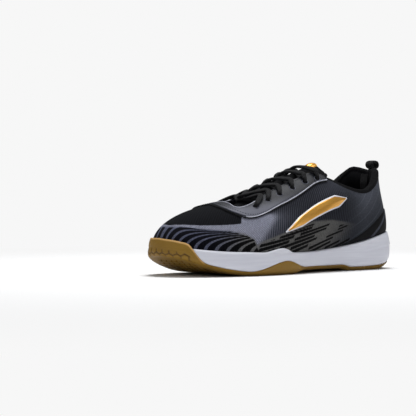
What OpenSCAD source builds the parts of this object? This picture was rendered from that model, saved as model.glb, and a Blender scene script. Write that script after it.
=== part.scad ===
// Left court shoe: a cupped sole unit, a lasted knit upper with its inner layers, and laced tongue.
// Frame: origin under the middle of the shoe, -Y to the toe, +X to the outer (little toe) side, +Z up.

/* [Shoe] */
// Length from the back of the heel to the tip of the toe
shoe_l = 295; // [285:1:305]
// Height of the collar at the heel
collar_h = 99; // [95:1:103]
// Width scale of the last, 1 is a standard fitting
fitting = 1; // [0.97:0.01:1.03]

/* [Sole] */
// Thickness of the rubber under the foot
rubber_t = 3.2; // [3:0.1:3.6]
// Thickness of the rubber where it wraps up the side
wrap_t = 2; // [1.8:0.1:2.1]
// Height of the arch above the ground
arch_h = 3; // [2.4:0.1:3.4]
// Rise of the toe above the ground
toe_spring = 20; // [17:1:22]
// Thickness of the arch plate
shank_t = 1.4; // [1:0.1:1.5]
// Thickness of the removable insole
insole_t = 3.6; // [3:0.1:4.2]

/* [Upper] */
// Thickness of the knit
knit_t = 1.4; // [1.2:0.1:1.4]
// Thickness of the lining
lining_t = 1; // [0.8:0.1:1]
// Thickness of the collar foam
foam_t = 6; // [4.5:0.5:6]
// Thickness of the eyestay
eyestay_t = 1; // [0.8:0.1:1.1]
// Width of the lace
lace_w = 5.6; // [5:0.2:6]
// Thickness of the lace
lace_t = 3; // [2.4:0.1:3]
// Thickness of the padding in the middle of the tongue
tongue_pad = 7.5; // [6:0.5:7.5]

/* [Hidden] */

// Design last: 26 stations, from the heel's back along the outer side, round the toe and back.
// Each row is [distance from the heel, sideways, height].
FEATHER = [
    [5, 0, 38], [11, 21, 37.5], [32, 33, 34.5], [62, 36, 28.5], [92, 36, 24], [120, 38, 21.5],
    [146, 42, 20], [172, 47, 20], [198, 49.5, 20.5], [224, 48, 21.5], [250, 41, 22.5],
    [272, 29, 24.5], [286, 12, 27], [290, -7, 28],
    [285.5, -24, 27], [270, -37, 24.5], [246, -43.5, 22.5], [220, -45, 21.5], [195, -42.5, 20.5],
    [168, -36.5, 20.5], [140, -30, 21], [112, -28, 22.5], [84, -30, 25.5], [58, -32.5, 29.5],
    [32, -31.5, 34.5], [11, -20.5, 37.5]
];
OPENING = [
    [9, 0, 99], [15, 15, 100.2], [28, 25.5, 91], [44, 30.5, 81.5], [60, 32, 79.5], [80, 31, 84],
    [101, 27, 92], [115, 17, 97.5], [135, 14, 91], [155, 12.5, 83.5], [175, 11.5, 76.5],
    [192, 9.5, 71], [203, 5, 69.5], [206, -1, 69.5],
    [203, -7, 69.5], [192, -11.5, 70.5], [175, -13.5, 75.5], [155, -14.5, 82.5], [135, -16, 90],
    [115, -18.5, 96], [101, -27, 91], [80, -30, 85], [60, -31, 82], [44, -30, 84.5],
    [28.5, -26.2, 95.6], [17.5, -17.8, 102.6]
];
// Handles of each side profile: [outward, up] at the feather line, [outward, down] at the opening
HANDLE = [
    [2.5, 22, -0.5, 26], [2.5, 21, 0, 24], [4, 18, 2, 22], [5, 16, 4, 18], [5, 18, 6, 20],
    [5, 20, 10, 20], [5, 22, 18, 20], [5, 22, 20, 20], [5, 20, 22, 17], [5, 20, 26, 13],
    [4, 20, 30, 10], [3, 22, 34, 6], [2, 24, 38, 4], [2, 25, 40, 3],
    [2, 24, 38, 4], [3, 22, 34, 6], [4, 20, 28, 10], [5, 20, 24, 13], [5, 21, 20, 17],
    [5, 22, 18, 20], [5, 22, 16, 20], [4, 20, 10, 20], [4, 19, 6, 20], [4, 17, 4, 18],
    [4, 18, 2, 22], [2.5, 21, 0, 24]
];
stations = len(FEATHER);
toe_u = stations / 2;
last_l = 295;
last_h = 99;
k_l = shoe_l / last_l;
k_h = collar_h / last_h;
// Where the middle of the finished shoe lies on the last
mid_t = 146.9;
mid_x = 2.3;

// Height of the rubber's top edge at each station, and of the midsole lip above the feather line
RUBBER_TOP = [
    [0, 13], [0.7, 10.5], [1.4, 6.5], [2, 4.6], [3, 3.8], [5, 4.8], [6, 6.4], [6.25, 6.6], [6.55, 7.4],
    [6.87, 10.2], [7.1, 12.3], [7.3, 13.3], [7.5, 13.4], [7.89, 11.6], [8.22, 9.2], [8.55, 6.6],
    [8.85, 4.8], [9.1, 4.3], [9.5, 5.2],
    [10.2, 8.4], [10.7, 11.5], [10.95, 15], [11.2, 23], [11.4, 29.5], [11.6, 31.6], [12.2, 34],
    [13, 35.5], [14, 35.5], [14.6, 33.5], [15.2, 29.5], [16, 24.8], [16.6, 24], [17.1, 26], [17.5, 28],
    [17.75, 27.5], [18, 22], [18.25, 14], [18.6, 8.5], [19, 6.8], [20, 6.6], [21, 6.3], [22, 4.6],
    [23, 3.8], [24, 4.6], [24.6, 6.5], [25.3, 10.5], [26, 13]
];
LIP = [
    [0, 1], [6.95, 1], [7.12, 1.8], [7.35, 4], [7.54, 5], [7.8, 4.6], [8.1, 3], [8.45, 1], [26, 1]
];
lip_out = 3.4;
lip_gap = 0.25;
// Room between layers: outside the knit, inside it, and between parts of the sole
layer_gap = 0.3;
inner_gap = 0.45;
sole_gap = 0.1;

// Curves and the surface of the last
function wrap(u) = u - stations * floor(u / stations);
function spline(a, b, c, d, f) =
    0.5 * (2 * b + (c - a) * f + (2 * a - 5 * b + 4 * c - d) * f * f
        + (3 * b - a - 3 * c + d) * f * f * f);
function along(table, u) =
    let (w = wrap(u), i = floor(w), n = len(table))
    spline(table[(i + n - 1) % n], table[i % n], table[(i + 1) % n], table[(i + 2) % n], w - i);
function unit(a) = a / norm(a);
function smooth(x) = let (c = min(1, max(0, x))) c * c * (3 - 2 * c);
function mix(a, b, f) = a + (b - a) * f;
function out_dir(u) =
    let (d = along(FEATHER, u + 0.001) - along(FEATHER, u - 0.001))
    unit([-d[1], d[0], 0]);
// Share of the way up the last's side that lies a given rise above the feather line
function rise_v(u, rise) = rise / (3 * along(HANDLE, u)[1]);
function place(p) = [fitting * p[1] - mid_x, k_l * (mid_t - p[0]), k_h * p[2]];
function last_point(u, v) =
    let (
        f = along(FEATHER, u), e = along(OPENING, u), h = along(HANDLE, u), o = out_dir(u),
        a = f + o * h[0] + [0, 0, h[1]], b = e + o * h[2] - [0, 0, h[3]], w = 1 - v
    )
    v < 0 ? f + (a - f) * 3 * v
        : f * w * w * w + a * 3 * v * w * w + b * 3 * v * v * w + e * v * v * v;
function skin(u, v) = place(last_point(u, v));
function skin_normal(u, v) =
    let (e = 0.004, du = skin(u + e, v) - skin(u - e, v), dv = skin(u, v + e) - skin(u, v - e))
    unit(cross(dv, du));
// A point at a depth d outside the last's surface, measured along its normal
function off(u, v, d) = skin(u, v) + skin_normal(u, v) * d;

// Solids from grids of points. A strip solid is a row of closed loops with an end cap each, or a
// closed ring of loops; a ladder solid is a stack of rings round the shoe, closed straight across.
function grid_faces(n, m, closed) = [
    for (i = [0 : closed ? n - 1 : n - 2], j = [0 : m - 1])
        let (a = i * m + j, b = i * m + (j + 1) % m, c = ((i + 1) % n) * m + (j + 1) % m,
            d = ((i + 1) % n) * m + j)
        each [[a, b, c], [a, c, d]]
];
function cap_faces(base, m, flip) = [
    for (j = [0 : m / 2 - 2])
        let (a = base + j, b = base + j + 1, c = base + m - 2 - j, d = base + m - 1 - j)
        each flip ? [[a, b, c], [a, c, d]] : [[a, c, b], [a, d, c]]
];
module strip_solid(loops, closed = false) {
    n = len(loops);
    m = len(loops[0]);
    points = [for (l = loops) each l];
    faces = concat(
        grid_faces(n, m, closed),
        closed ? [] : cap_faces(0, m, false),
        closed ? [] : cap_faces((n - 1) * m, m, true)
    );
    polyhedron(points, faces, convexity = 10);
}
function ladder_faces(base, n, flip) = [
    for (i = [0 : n / 2 - 1])
        let (a = base + i, b = base + i + 1, c = base + (n - i - 1) % n, d = base + (n - i) % n)
        each i == 0 ? [flip ? [a, b, c] : [a, c, b]]
            : i == n / 2 - 1 ? [flip ? [a, b, d] : [a, d, b]]
            : flip ? [[a, b, c], [a, c, d]] : [[a, c, b], [a, d, c]]
];
module ladder_solid(rings) {
    k = len(rings);
    n = len(rings[0]);
    points = [for (r = rings) each r];
    sides = [
        for (j = [0 : k - 2], i = [0 : n - 1])
            let (a = j * n + i, b = j * n + (i + 1) % n, c = a + n, d = b + n)
            each [[a, d, c], [a, b, d]]
    ];
    faces = concat(sides, ladder_faces(0, n, false), ladder_faces((k - 1) * n, n, true));
    polyhedron(points, faces, convexity = 10);
}
// A layer that follows the last between heights low(u) and high(u) and depths inner and outer
module layer(us, rows, low, high, inner, outer, closed = false) {
    strip_solid([
        for (u = us)
            concat(
                [for (j = [0 : rows]) let (v = mix(low(u), high(u), j / rows)) off(u, v, inner(u, v))],
                [for (j = [rows : -1 : 0]) let (v = mix(low(u), high(u), j / rows)) off(u, v, outer(u, v))]
            )
    ], closed);
}
function fixed(value) = function (u, v = 0) value;

// Stations of the layers, and the finer ones of the sole where the rubber's edge climbs
RING = [for (i = [0 : stations * 3 - 1]) i / 3];
HALF_SOLE = concat(
    [0 : 0.3 : 5.7], [6 : 0.15 : 8.4], [8.7 : 0.3 : 10.5], [10.65 : 0.15 : 11.85], [12, 12.35, 12.7]
);
half_sole = [for (part = HALF_SOLE) each part];
SOLE_RING = concat(half_sole, [toe_u], [for (i = [len(half_sole) - 1 : -1 : 1]) stations - half_sole[i]]);

// Sole
function ground(t) =
    let (
        arch = arch_h * smooth((t - 76) / 18) * (1 - smooth((t - 148) / 20)),
        bevel = 2.6 * pow(max(0, (18 - t) / 14), 2),
        spring = toe_spring * pow(max(0, (t - 215) / 80), 2)
    )
    arch + bevel + spring;
// The sole's overhang past the feather line: less round the heel, and tapering above the line
function heel_part(t) = smooth(1 - t / 45);
function sole_out(t) = lip_out - 1.4 * heel_part(t);
taper = 0.115;
// Sideways position of the sole's wall at height z, outward of the feather line
function wall(u, z) =
    let (
        f = along(FEATHER, u), low = ground(f[0]), s = min(1, max(0, (z - low) / (f[2] - low))),
        heel = heel_part(f[0])
    )
    sole_out(f[0]) + mix(1, 3.4, heel) * 4 * s * (1 - s) - mix(6.2, 9, heel) * pow(1 - s, mix(9, 7, heel));
// Point of the sole's side at height z: on the wall, or on the upper above the feather line
function side(u, z, d) =
    let (f = along(FEATHER, u), rise = z - f[2], o = out_dir(u))
    rise <= 0 ? place([f[0], f[1], z] + o * (wall(u, z) + d))
        : off(u, rise_v(u, rise), sole_out(f[0]) + d - taper * rise);
function feather_z(u) = along(FEATHER, u)[2];
function ground_z(u) = ground(along(FEATHER, u)[0]);
function lip_z(u) = feather_z(u) + lookup(wrap(u), LIP);
function rubber_z(u) = max(lookup(wrap(u), RUBBER_TOP), ground_z(u) + rubber_t + 0.4);
// Depth of the cup that the upper stands in, below the feather line
function cup_depth(u) = mix(4, 11, smooth(1 - along(FEATHER, u)[0] / 120));
function cup_v(u) = -rise_v(u, cup_depth(u));
function lip_v(u) = rise_v(u, lip_z(u) - feather_z(u));

// Heights of the midsole's underside, of the step over the rubber's edge, and half way between
function low_z(u) = ground_z(u) + rubber_t + sole_gap;
function step_z(u) = min(rubber_z(u) + 0.1, lip_z(u) - 0.6);
function wall_middle(u) = mix(low_z(u), step_z(u), 0.5);

module outsole() {
    function hugs(u) = rubber_z(u) > lip_z(u) + 1.4;
    function on_upper(u, z) = off(u, rise_v(u, z - feather_z(u)), lip_gap);
    function ring(f) = [for (u = SOLE_RING) f(u)];
    color([0.55, 0.41, 0.2])
    ladder_solid([
        ring(function (u) side(u, ground_z(u), 0)),
        ring(function (u) side(u, ground_z(u) + 0.7, 0)),
        ring(function (u) side(u, ground_z(u) + 1.9, 0)),
        ring(function (u) side(u, mix(ground_z(u) + 1.9, rubber_z(u), 0.4), 0)),
        ring(function (u) side(u, mix(ground_z(u) + 1.9, rubber_z(u), 0.75), 0)),
        ring(function (u) side(u, rubber_z(u) - 0.3, 0)),
        ring(function (u) side(u, rubber_z(u), -0.5)),
        ring(function (u) hugs(u) ? on_upper(u, rubber_z(u)) : side(u, rubber_z(u), -wrap_t)),
        ring(function (u) hugs(u) ? on_upper(u, lip_z(u) + 0.7) : side(u, rubber_z(u) - 0.1, -wrap_t)),
        ring(function (u) hugs(u) ? side(u, lip_z(u) + 0.3, -wrap_t)
            : side(u, rubber_z(u) - 0.2, -wrap_t)),
        ring(function (u) side(u, min(wall_middle(u), rubber_z(u) - 0.3), -wrap_t)),
        ring(function (u) side(u, ground_z(u) + rubber_t, -wrap_t))
    ]);
}

module midsole() {
    function covered(u) = rubber_z(u) > lip_z(u) - 2;
    function inset(u) = covered(u) ? -wrap_t - sole_gap : 0;
    function ring(f) = [for (u = SOLE_RING) f(u)];
    color([0.8, 0.8, 0.85])
    resize([0, 0, 0])
    difference() {
        ladder_solid([
            ring(function (u) side(u, low_z(u), -wrap_t - sole_gap)),
            ring(function (u) side(u, wall_middle(u), -wrap_t - sole_gap)),
            ring(function (u) side(u, step_z(u), -wrap_t - sole_gap)),
            ring(function (u) side(u, step_z(u) + 0.15, inset(u))),
            ring(function (u) side(u, mix(step_z(u) + 0.15, lip_z(u), 0.35), inset(u))),
            ring(function (u) side(u, mix(step_z(u) + 0.15, lip_z(u), 0.7), inset(u))),
            ring(function (u) side(u, lip_z(u) - 0.25, inset(u))),
            ring(function (u) side(u, lip_z(u), inset(u) - 0.4)),
            ring(function (u) off(u, lip_v(u), lip_gap)),
            ring(function (u) off(u, 0, lip_gap)),
            ring(function (u) off(u, cup_v(u), lip_gap))
        ]);
        shank_outline(0.15, arch_h + 1, shank_t + rubber_t + 0.4);
    }
}

// The arch plate lies flat in a pocket in the midsole's underside
shank_at = [121, 4, 0];
shank_r = 7;
module shank_outline(grow, z, h) {
    translate(place(shank_at) + [0, 0, z])
    linear_extrude(h)
    hull() {
        for (side = [-1, 1]) {
            translate([side * 9, 17]) circle(r = shank_r + grow, $fn = 32);
            translate([side * 11, -17]) circle(r = shank_r + grow, $fn = 32);
        }
    }
}

module shank() {
    color([0.1, 0.1, 0.12])
    shank_outline(0, arch_h + rubber_t + 0.15, shank_t);
}

// Thickness of the board, and height of the insole's underside above the floor of the cup
board_t = 1.1;
board_top = board_t + 1;
module strobel_board() {
    function edge(u, z) = off(u, cup_v(u), -knit_t - 0.2) + [0, 0, z];
    color([0.75, 0.72, 0.65])
    ladder_solid([for (z = [0.15, 0.15 + board_t]) [for (u = RING) edge(u, z)]]);
}

// Distance of the insole's edge inside the last, which lets its heel lift out past the lining
insole_in = 6;
module insole() {
    function edge(u, z, d) =
        let (p = off(u, cup_v(u) + rise_v(u, z + board_top), -d))
        [p[0], p[1], skin(u, cup_v(u))[2] + board_top + z];
    color([0.13, 0.13, 0.14])
    ladder_solid([
        [for (u = RING) edge(u, 0, insole_in + 1.4)],
        [for (u = RING) edge(u, 1.1, insole_in + 0.2)],
        [for (u = RING) edge(u, insole_t - 0.8, insole_in)],
        [for (u = RING) edge(u, insole_t, insole_in + 0.8)]
    ]);
}

// Upper
// Share of the way up the last's side at which the throat is cut, wide at its front and narrow above
THROAT = [
    [9.5, 1], [9.9, 0.98], [10.3, 0.94], [10.6, 0.86], [10.8, 0.77], [11.05, 0.715], [11.4, 0.74],
    [11.9, 0.83], [12.4, 0.885], [13, 0.91]
];
function from_heel(u) = toe_u - abs(wrap(u) - toe_u);
function throat_v(u) = lookup(from_heel(u), THROAT);

module knit_upper() {
    color([0.22, 0.22, 0.26])
    resize([0, 0, 0])
    difference() {
        layer(RING, 10, function (u) cup_v(u), function (u) throat_v(u), fixed(-knit_t), fixed(0), true);
        lace_holes();
    }
}

puff_t = 0.8;
counter_t = 1.2;
module toe_puff() {
    color([0.3, 0.3, 0.3])
    layer([for (i = [0 : 16]) mix(10.7, 15.3, i / 16)], 6, fixed(0.02),
        function (u) 0.4 - 0.03 * pow(abs(u - toe_u), 2),
        fixed(-knit_t - inner_gap - puff_t), fixed(-knit_t - inner_gap));
}

module heel_counter() {
    color([0.3, 0.3, 0.3])
    layer([for (i = [0 : 20]) mix(-3.3, 3.3, i / 20)], 5, function (u) cup_v(u) * 0.6,
        function (u) 0.5 - 0.028 * u * u,
        fixed(-knit_t - inner_gap - counter_t), fixed(-knit_t - inner_gap));
}

// Thickness of the collar foam, and depth of the lining's outer face behind the last's surface
function heel_u(u) = let (w = wrap(u)) w > toe_u ? w - stations : w;
function foam_depth(u, v) =
    foam_t * (1 - smooth((abs(heel_u(u)) - 3.6) / 2.5)) * smooth((v - 0.5) / 0.26)
        * (1 - 0.35 * smooth((v - 0.84) / 0.16));
function lining_depth(u, v) =
    let (
        w = abs(heel_u(u)),
        counter = (counter_t + inner_gap) * (1 - smooth((w - 3.5) / 1.4)),
        puff = (puff_t + inner_gap) * smooth((w - 9.2) / 1.2)
    )
    knit_t + inner_gap + max(counter, puff, foam_depth(u, v) + inner_gap * smooth((v - 0.5) / 0.1));
function lining_low(u) = cup_v(u) + rise_v(u, board_t + 0.6);

module collar_foam() {
    color([0.2, 0.2, 0.2])
    layer([for (i = [0 : 24]) mix(-5.4, 5.4, i / 24)], 5, fixed(0.56), fixed(0.985),
        function (u, v) -knit_t - inner_gap - max(0.5, foam_depth(u, v)), fixed(-knit_t - inner_gap));
}

module quarter_lining() {
    color([0.06, 0.06, 0.07])
    layer([for (i = [0 : 32]) mix(-6.3, 6.3, i / 32)], 8, function (u) lining_low(u), fixed(0.985),
        function (u, v) -lining_depth(u, v) - lining_t, function (u, v) -lining_depth(u, v));
}

module vamp_lining() {
    color([0.08, 0.08, 0.09])
    layer([for (i = [0 : 32]) mix(6.4, 19.6, i / 32)], 6, function (u) lining_low(u),
        function (u) min(0.65 + 0.18 * smooth((from_heel(u) - 11.4) / 1.2), throat_v(u) - 0.08),
        function (u, v) -lining_depth(u, v) - lining_t, function (u, v) -lining_depth(u, v));
}

// Rolled edge that closes the knit, the foam and the lining round the ankle
module collar_binding() {
    function roll(u, angle) =
        let (
            e = skin(u, 1), n = skin_normal(u, 1), up = unit(e - skin(u, 0.98)),
            depth = lining_depth(u, 1) + lining_t, half = depth / 2 + 0.2
        )
        e - n * (depth / 2) + n * (half * cos(angle)) + up * (0.3 + min(2.6, half) * sin(angle));
    color([0.06, 0.06, 0.07])
    strip_solid([
        for (i = [0 : 30])
            let (u = mix(-6.1, 6.1, i / 30)) [for (j = [9 : -1 : 0]) roll(u, j * 20)]
    ]);
}

// Lower edge of the eyestay along the quarters and across the vamp
EYESTAY_EDGE = [
    [6, 0.985], [6.4, 0.925], [6.8, 0.875], [7.4, 0.815], [8.06, 0.755], [9.06, 0.66], [9.56, 0.565],
    [9.8, 0.53], [10.14, 0.525], [10.52, 0.555], [11, 0.61], [11.66, 0.69], [12.4, 0.77], [13, 0.805]
];
function eyestay_edge(u) = lookup(from_heel(u), EYESTAY_EDGE);
EYESTAY_US = [for (i = [0 : 68]) mix(6.25, 19.75, i / 68)];

module eyestay() {
    color([0.42, 0.42, 0.48])
    resize([0, 0, 0])
    difference() {
        layer(EYESTAY_US, 4, function (u) eyestay_edge(u), function (u) throat_v(u),
            fixed(layer_gap), fixed(layer_gap + eyestay_t));
        lace_holes();
    }
}

// A cord sewn along the eyestay's edge
module eyestay_piping() {
    color([0.85, 0.85, 0.88])
    layer(EYESTAY_US, 1, function (u) eyestay_edge(u) - 0.03, function (u) eyestay_edge(u) - 0.006,
        fixed(layer_gap), fixed(layer_gap + 1.2));
}

// Film bonded over the lower heel
module heel_film() {
    color([0.04, 0.04, 0.05])
    layer([for (i = [0 : 24]) mix(-4, 4, i / 24)], 5, function (u) lip_v(u) + 0.02,
        function (u) 0.4 - 0.35 * smooth((abs(u) - 1.8) / 2.3), fixed(layer_gap), fixed(layer_gap + 0.5));
}

// Slanting hexagonal bar on the outer side, its middle line from low and forward to high and back
EMBLEM_FROM = [7.75, 0.3];
EMBLEM_TO = [5.15, 0.79];
EMBLEM_HALF = [0.2, 0.046];
module emblem(grow, low, high, bevel) {
    steps = 16;
    point = 0.2;
    function half(s) = mix(0.12, 1, min(1, s / point, (1 - s) / point));
    function at_bar(s, r, d) =
        let (c = mix(EMBLEM_FROM, EMBLEM_TO, mix(-grow / 10, 1 + grow / 10, s)) + EMBLEM_HALF * r)
        off(c[0], c[1], d);
    color(bevel > 0 ? [0.85, 0.62, 0.24] : [0.92, 0.92, 0.92])
    strip_solid([
        for (i = [0 : steps])
            let (s = i / steps, w = half(s) * (1 + grow))
            [
                at_bar(s, w, low), at_bar(s, 0.5 * w, low), at_bar(s, -0.5 * w, low), at_bar(s, -w, low),
                at_bar(s, -w, high - bevel), at_bar(s, -0.5 * w, high), at_bar(s, 0.5 * w, high),
                at_bar(s, w, high - bevel)
            ]
    ]);
}
module side_emblem_border() emblem(0.3, 0.5, 1.1, 0);
module side_emblem() emblem(0, 1.25, 2.4, 0.7);

// Tongue: rows are [distance from the heel, height of its underside, half width, padding 0 to 1, droop]
TONGUE = [
    [223, 57.5, 14, 0.05, 0.009], [214, 59.4, 21, 0.1, 0.009], [204, 60.8, 24, 0.3, 0.011],
    [194, 62, 23, 0.6, 0.014], [184, 64.2, 21, 0.95, 0.014], [172, 68, 20, 1.15, 0.016],
    [156, 73.5, 19.5, 1.3, 0.017], [140, 79.2, 19.5, 1.4, 0.017], [124, 84.6, 19.5, 1.42, 0.019],
    [108, 90, 19, 1.4, 0.018], [98, 94, 18, 1.3, 0.014], [92, 95.8, 16.5, 1, 0.014],
    [88, 96.6, 14, 0.45, 0.014]
];
tongue_sheet = 2.4;
tongue_ridge = 9.5;
function tongue_row(a) =
    let (w = min(len(TONGUE) - 1.001, max(0, a * (len(TONGUE) - 1))), i = floor(w), n = len(TONGUE) - 1)
    spline(TONGUE[max(0, i - 1)], TONGUE[i], TONGUE[min(n, i + 1)], TONGUE[min(n, i + 2)], w - i);
function tongue_point(a, b, top) =
    let (r = tongue_row(a), x = b * r[2] - 1, bulge = exp(-pow(b * r[2] / tongue_ridge, 2)))
    place([r[0], x, r[1] - r[4] * pow(b * r[2], 2) + top * (tongue_sheet + tongue_pad * r[3] * bulge)]);
function tongue_normal(a, b) =
    unit(cross(tongue_point(a, b + 0.01, 1) - tongue_point(a, b - 0.01, 1),
        tongue_point(a + 0.01, b, 1) - tongue_point(a - 0.01, b, 1)));
function tongue_off(a, b, d) = tongue_point(a, b, 1) + tongue_normal(a, b) * d;

module tongue() {
    steps = 24;
    half = 6;
    color([0.07, 0.07, 0.08])
    strip_solid([
        for (i = [0 : steps])
            concat(
                [for (j = [-half : half]) tongue_point(i / steps, j / half, 0)],
                [for (j = [half : -1 : -half]) tongue_point(i / steps, j / half, 1)]
            )
    ]);
}

// Hexagonal label lying on the tongue near its top
module tongue_label() {
    steps = 8;
    function half(s) = min(1, 0.35 + 2.4 * s, 0.35 + 2.4 * (1 - s));
    color([0.85, 0.62, 0.24])
    strip_solid([
        for (i = [0 : steps])
            let (a = mix(0.775, 0.91, i / steps), w = 0.3 * half(i / steps))
            [
                tongue_off(a, -w, 0.9), tongue_off(a, -w / 3, 0.9), tongue_off(a, w / 3, 0.9),
                tongue_off(a, w, 0.9), tongue_off(a, w, 1.5), tongue_off(a, w / 3, 2),
                tongue_off(a, -w / 3, 2), tongue_off(a, -w, 1.5)
            ]
    ]);
}

// Lacing: six rows of holes, each [station, height] on the outer side; the inner side mirrors them
LACE_ROWS = [[10.35, 0.71], [9.85, 0.8], [9.2, 0.845], [8.42, 0.88], [7.62, 0.895], [6.88, 0.905]];
hole_r = 2.7;
function lace_row(i, s) = s > 0 ? LACE_ROWS[i] : [stations - LACE_ROWS[i][0], LACE_ROWS[i][1]];
// Height on the last at a distance toward the throat from a hole, and the point and normal there
function reach_v(i, s, reach) =
    let (r = lace_row(i, s)) r[1] + reach * 0.02 / norm(skin(r[0], r[1] + 0.02) - skin(r[0], r[1]));
function from_hole(i, s, reach, d) = off(lace_row(i, s)[0], reach_v(i, s, reach), d);
// Reach of a hole that takes the lace at least a distance on and past the throat's edge
function past_edge(i, s, least) =
    let (r = lace_row(i, s), e = skin(r[0], r[1] + 0.02) - skin(r[0], r[1]))
    max(least, (throat_v(r[0]) - r[1]) / 0.02 * norm(e) + 1);
function hole_normal(i, s, reach) = skin_normal(lace_row(i, s)[0], reach_v(i, s, reach));
function hole_point(i, s, d) = from_hole(i, s, 0, d);
module lace_holes() {
    for (i = [0 : 5], s = [-1, 1]) {
        n = hole_normal(i, s, 0);
        translate(hole_point(i, s, 0))
        rotate([0, acos(n[2]), atan2(n[1], n[0])])
        cylinder(r = hole_r, h = 9, center = true, $fn = 14);
    }
}
// Route through a hole from above: entries are [point, direction of the lace's flat face, width]
function dive(i, s, flip) =
    let (n = hole_normal(i, s, 0), w = unit(from_hole(i, s, 1, 0) - from_hole(i, s, 0, 0)))
    [
        [from_hole(i, s, past_edge(i, s, 10.4), 3.6), flip * hole_normal(i, s, 10), 1],
        [from_hole(i, s, 4.8, 3.5), flip * hole_normal(i, s, 5), 0.86],
        [from_hole(i, s, 0.9, 2.7), flip * unit(n - w), 0.64],
        [from_hole(i, s, -0.2, 0.3), -flip * w, 0.5],
        [from_hole(i, s, 1, -2.8), -flip * unit(n + w), 0.52],
        [from_hole(i, s, 4, -3.4), -flip * hole_normal(i, s, 4), 0.74],
        [from_hole(i, s, past_edge(i, s, 10), -3.2), -flip * hole_normal(i, s, 9), 0.9]
    ];
function reversed(list) = [for (i = [len(list) - 1 : -1 : 0]) list[i]];
// Middle of the crossing between two rows, just above the tongue
function crossing(i, level) =
    let (p = (hole_point(i, 1, 0) + hole_point(min(5, i + 1), -1, 0)) / 2,
        a = tongue_at(mid_t - p[1] / k_l))
    tongue_off(a, 0.05, (i == 0 ? 2.5 : 2.2) + level * 3.2);
// How far along the tongue a distance from the heel lies, found by halving
function tongue_at(t, lo = 0, hi = 1, n = 20) =
    let (m = (lo + hi) / 2)
    n == 0 ? m : tongue_row(m)[0] > t ? tongue_at(t, m, hi, n - 1) : tongue_at(t, lo, m, n - 1);
// One half of the lace, from the bottom bar up to its end tucked behind the eyestay
function lace_half(s) = [
    for (i = [0 : 5])
        let (side = i % 2 == 0 ? s : -s, flip = i % 2 == 0 ? 1 : -1, path = dive(i, side, flip))
        each i < 5 ? concat(path, [[crossing(i, side > 0 ? 0 : 1), [0, 0, -flip], 1]])
            : concat([for (k = [0 : 4]) path[k]], lace_tail(side, flip))
];
TAIL = [[7.3, 0.845], [7.7, 0.81], [8.1, 0.79], [8.5, 0.775]];
tail_depth = 3.7;
function tail_point(side, k) = off(side > 0 ? TAIL[k][0] : stations - TAIL[k][0], TAIL[k][1], -tail_depth);
function lace_tail(side, flip) = [
    for (k = [0 : len(TAIL) - 1])
        [tail_point(side, k), -flip * skin_normal(side > 0 ? TAIL[k][0] : stations - TAIL[k][0], TAIL[k][1]),
            0.55]
];
module lace() {
    color([0.05, 0.05, 0.05])
    lace_solid(concat(reversed(lace_half(-1)), [bottom_bar()], lace_half(1)));
}
function bottom_bar() = [crossing_low(), [0, 0, 1], 1];
function crossing_low() = (from_hole(0, 1, 9, 3) + from_hole(0, -1, 9, 3)) / 2 + [0, 0, 1.4];
// Lace: an eight-sided section, scaled so that its flats stand nearly at the full width
lace_round = 1.06;
module lace_solid(route) {
    n = len(route);
    function at_route(f, k) =
        let (i = min(n - 2, floor(f)), a = route[max(0, i - 1)][k], b = route[i][k],
            c = route[i + 1][k], d = route[min(n - 1, i + 2)][k])
        spline(a, b, c, d, f - i);
    steps = (n - 1) * 2;
    strip_solid([
        for (j = [0 : steps])
            let (
                f = j / 2, p = at_route(f, 0), dir = unit(at_route(min(n - 1, f + 0.02), 0)
                    - at_route(max(0, f - 0.02), 0)),
                raw = at_route(f, 1), up = unit(raw - dir * (raw * dir)), across = cross(dir, up),
                width = at_route(f, 2)
            )
            [
                for (angle = [22.5 : 45 : 360])
                    p + across * (lace_w / 2 * width * cos(angle) * lace_round)
                        + up * (lace_t / 2 * mix(1.25, 1, width) * sin(angle) * lace_round)
            ]
    ]);
}

// Plastic tips that close the lace's two ends
aglet_l = 10;
module aglets() {
    color([0.1, 0.1, 0.1])
    for (side = [-1, 1]) {
        tip = tail_point(side, len(TAIL) - 1);
        dir = unit(tip - tail_point(side, len(TAIL) - 2));
        translate(tip + dir * 0.1)
        rotate([0, acos(dir[2]), atan2(dir[1], dir[0])])
        cylinder(r = 1.3, h = aglet_l, $fn = 24);
    }
}

// Webbing at the heel: tabs sewn on the inside and the outside, and the loop that stands above them
loop_w = 9;
loop_strap = 1.8;
tab_out = 1.6;
tab_in = 1.3;
tab_clear = 2.0;
module strap(path, width, thick) {
    n = len(path);
    strip_solid([
        for (i = [0 : n - 1])
            let (
                dir = unit(path[min(n - 1, i + 1)] - path[max(0, i - 1)]), side = [dir[2], 0, -dir[0]],
                a = path[i] + side * thick / 2, b = path[i] - side * thick / 2, x = [0, width / 2, 0]
            )
            [place(b - x), place(b + x), place(a + x), place(a - x)]
    ]);
}
module pull_loop_tab() {
    color([0.05, 0.05, 0.05])
    strip_solid([
        for (v = [0.78 : 0.04 : 0.98])
            let (depth = lining_depth(0, v) + lining_t + tab_clear)
            [for (k = [[1, depth], [1, depth + tab_in], [-1, depth + tab_in], [-1, depth]])
                let (p = off(0, v, -k[1])) [k[0] * loop_w / 2 - mid_x, p[1], p[2]]]
    ]);
    color([0.05, 0.05, 0.05])
    strip_solid([
        for (v = [0.8 : 0.04 : 1.04])
            [for (k = [[-1, tab_out], [1, tab_out], [1, layer_gap], [-1, layer_gap]])
                let (p = off(0, min(1, v), k[1]), over = max(0, v - 1) * 70)
                [k[0] * loop_w / 2 - mid_x, p[1], p[2] + over]]
    ]);
}
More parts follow.
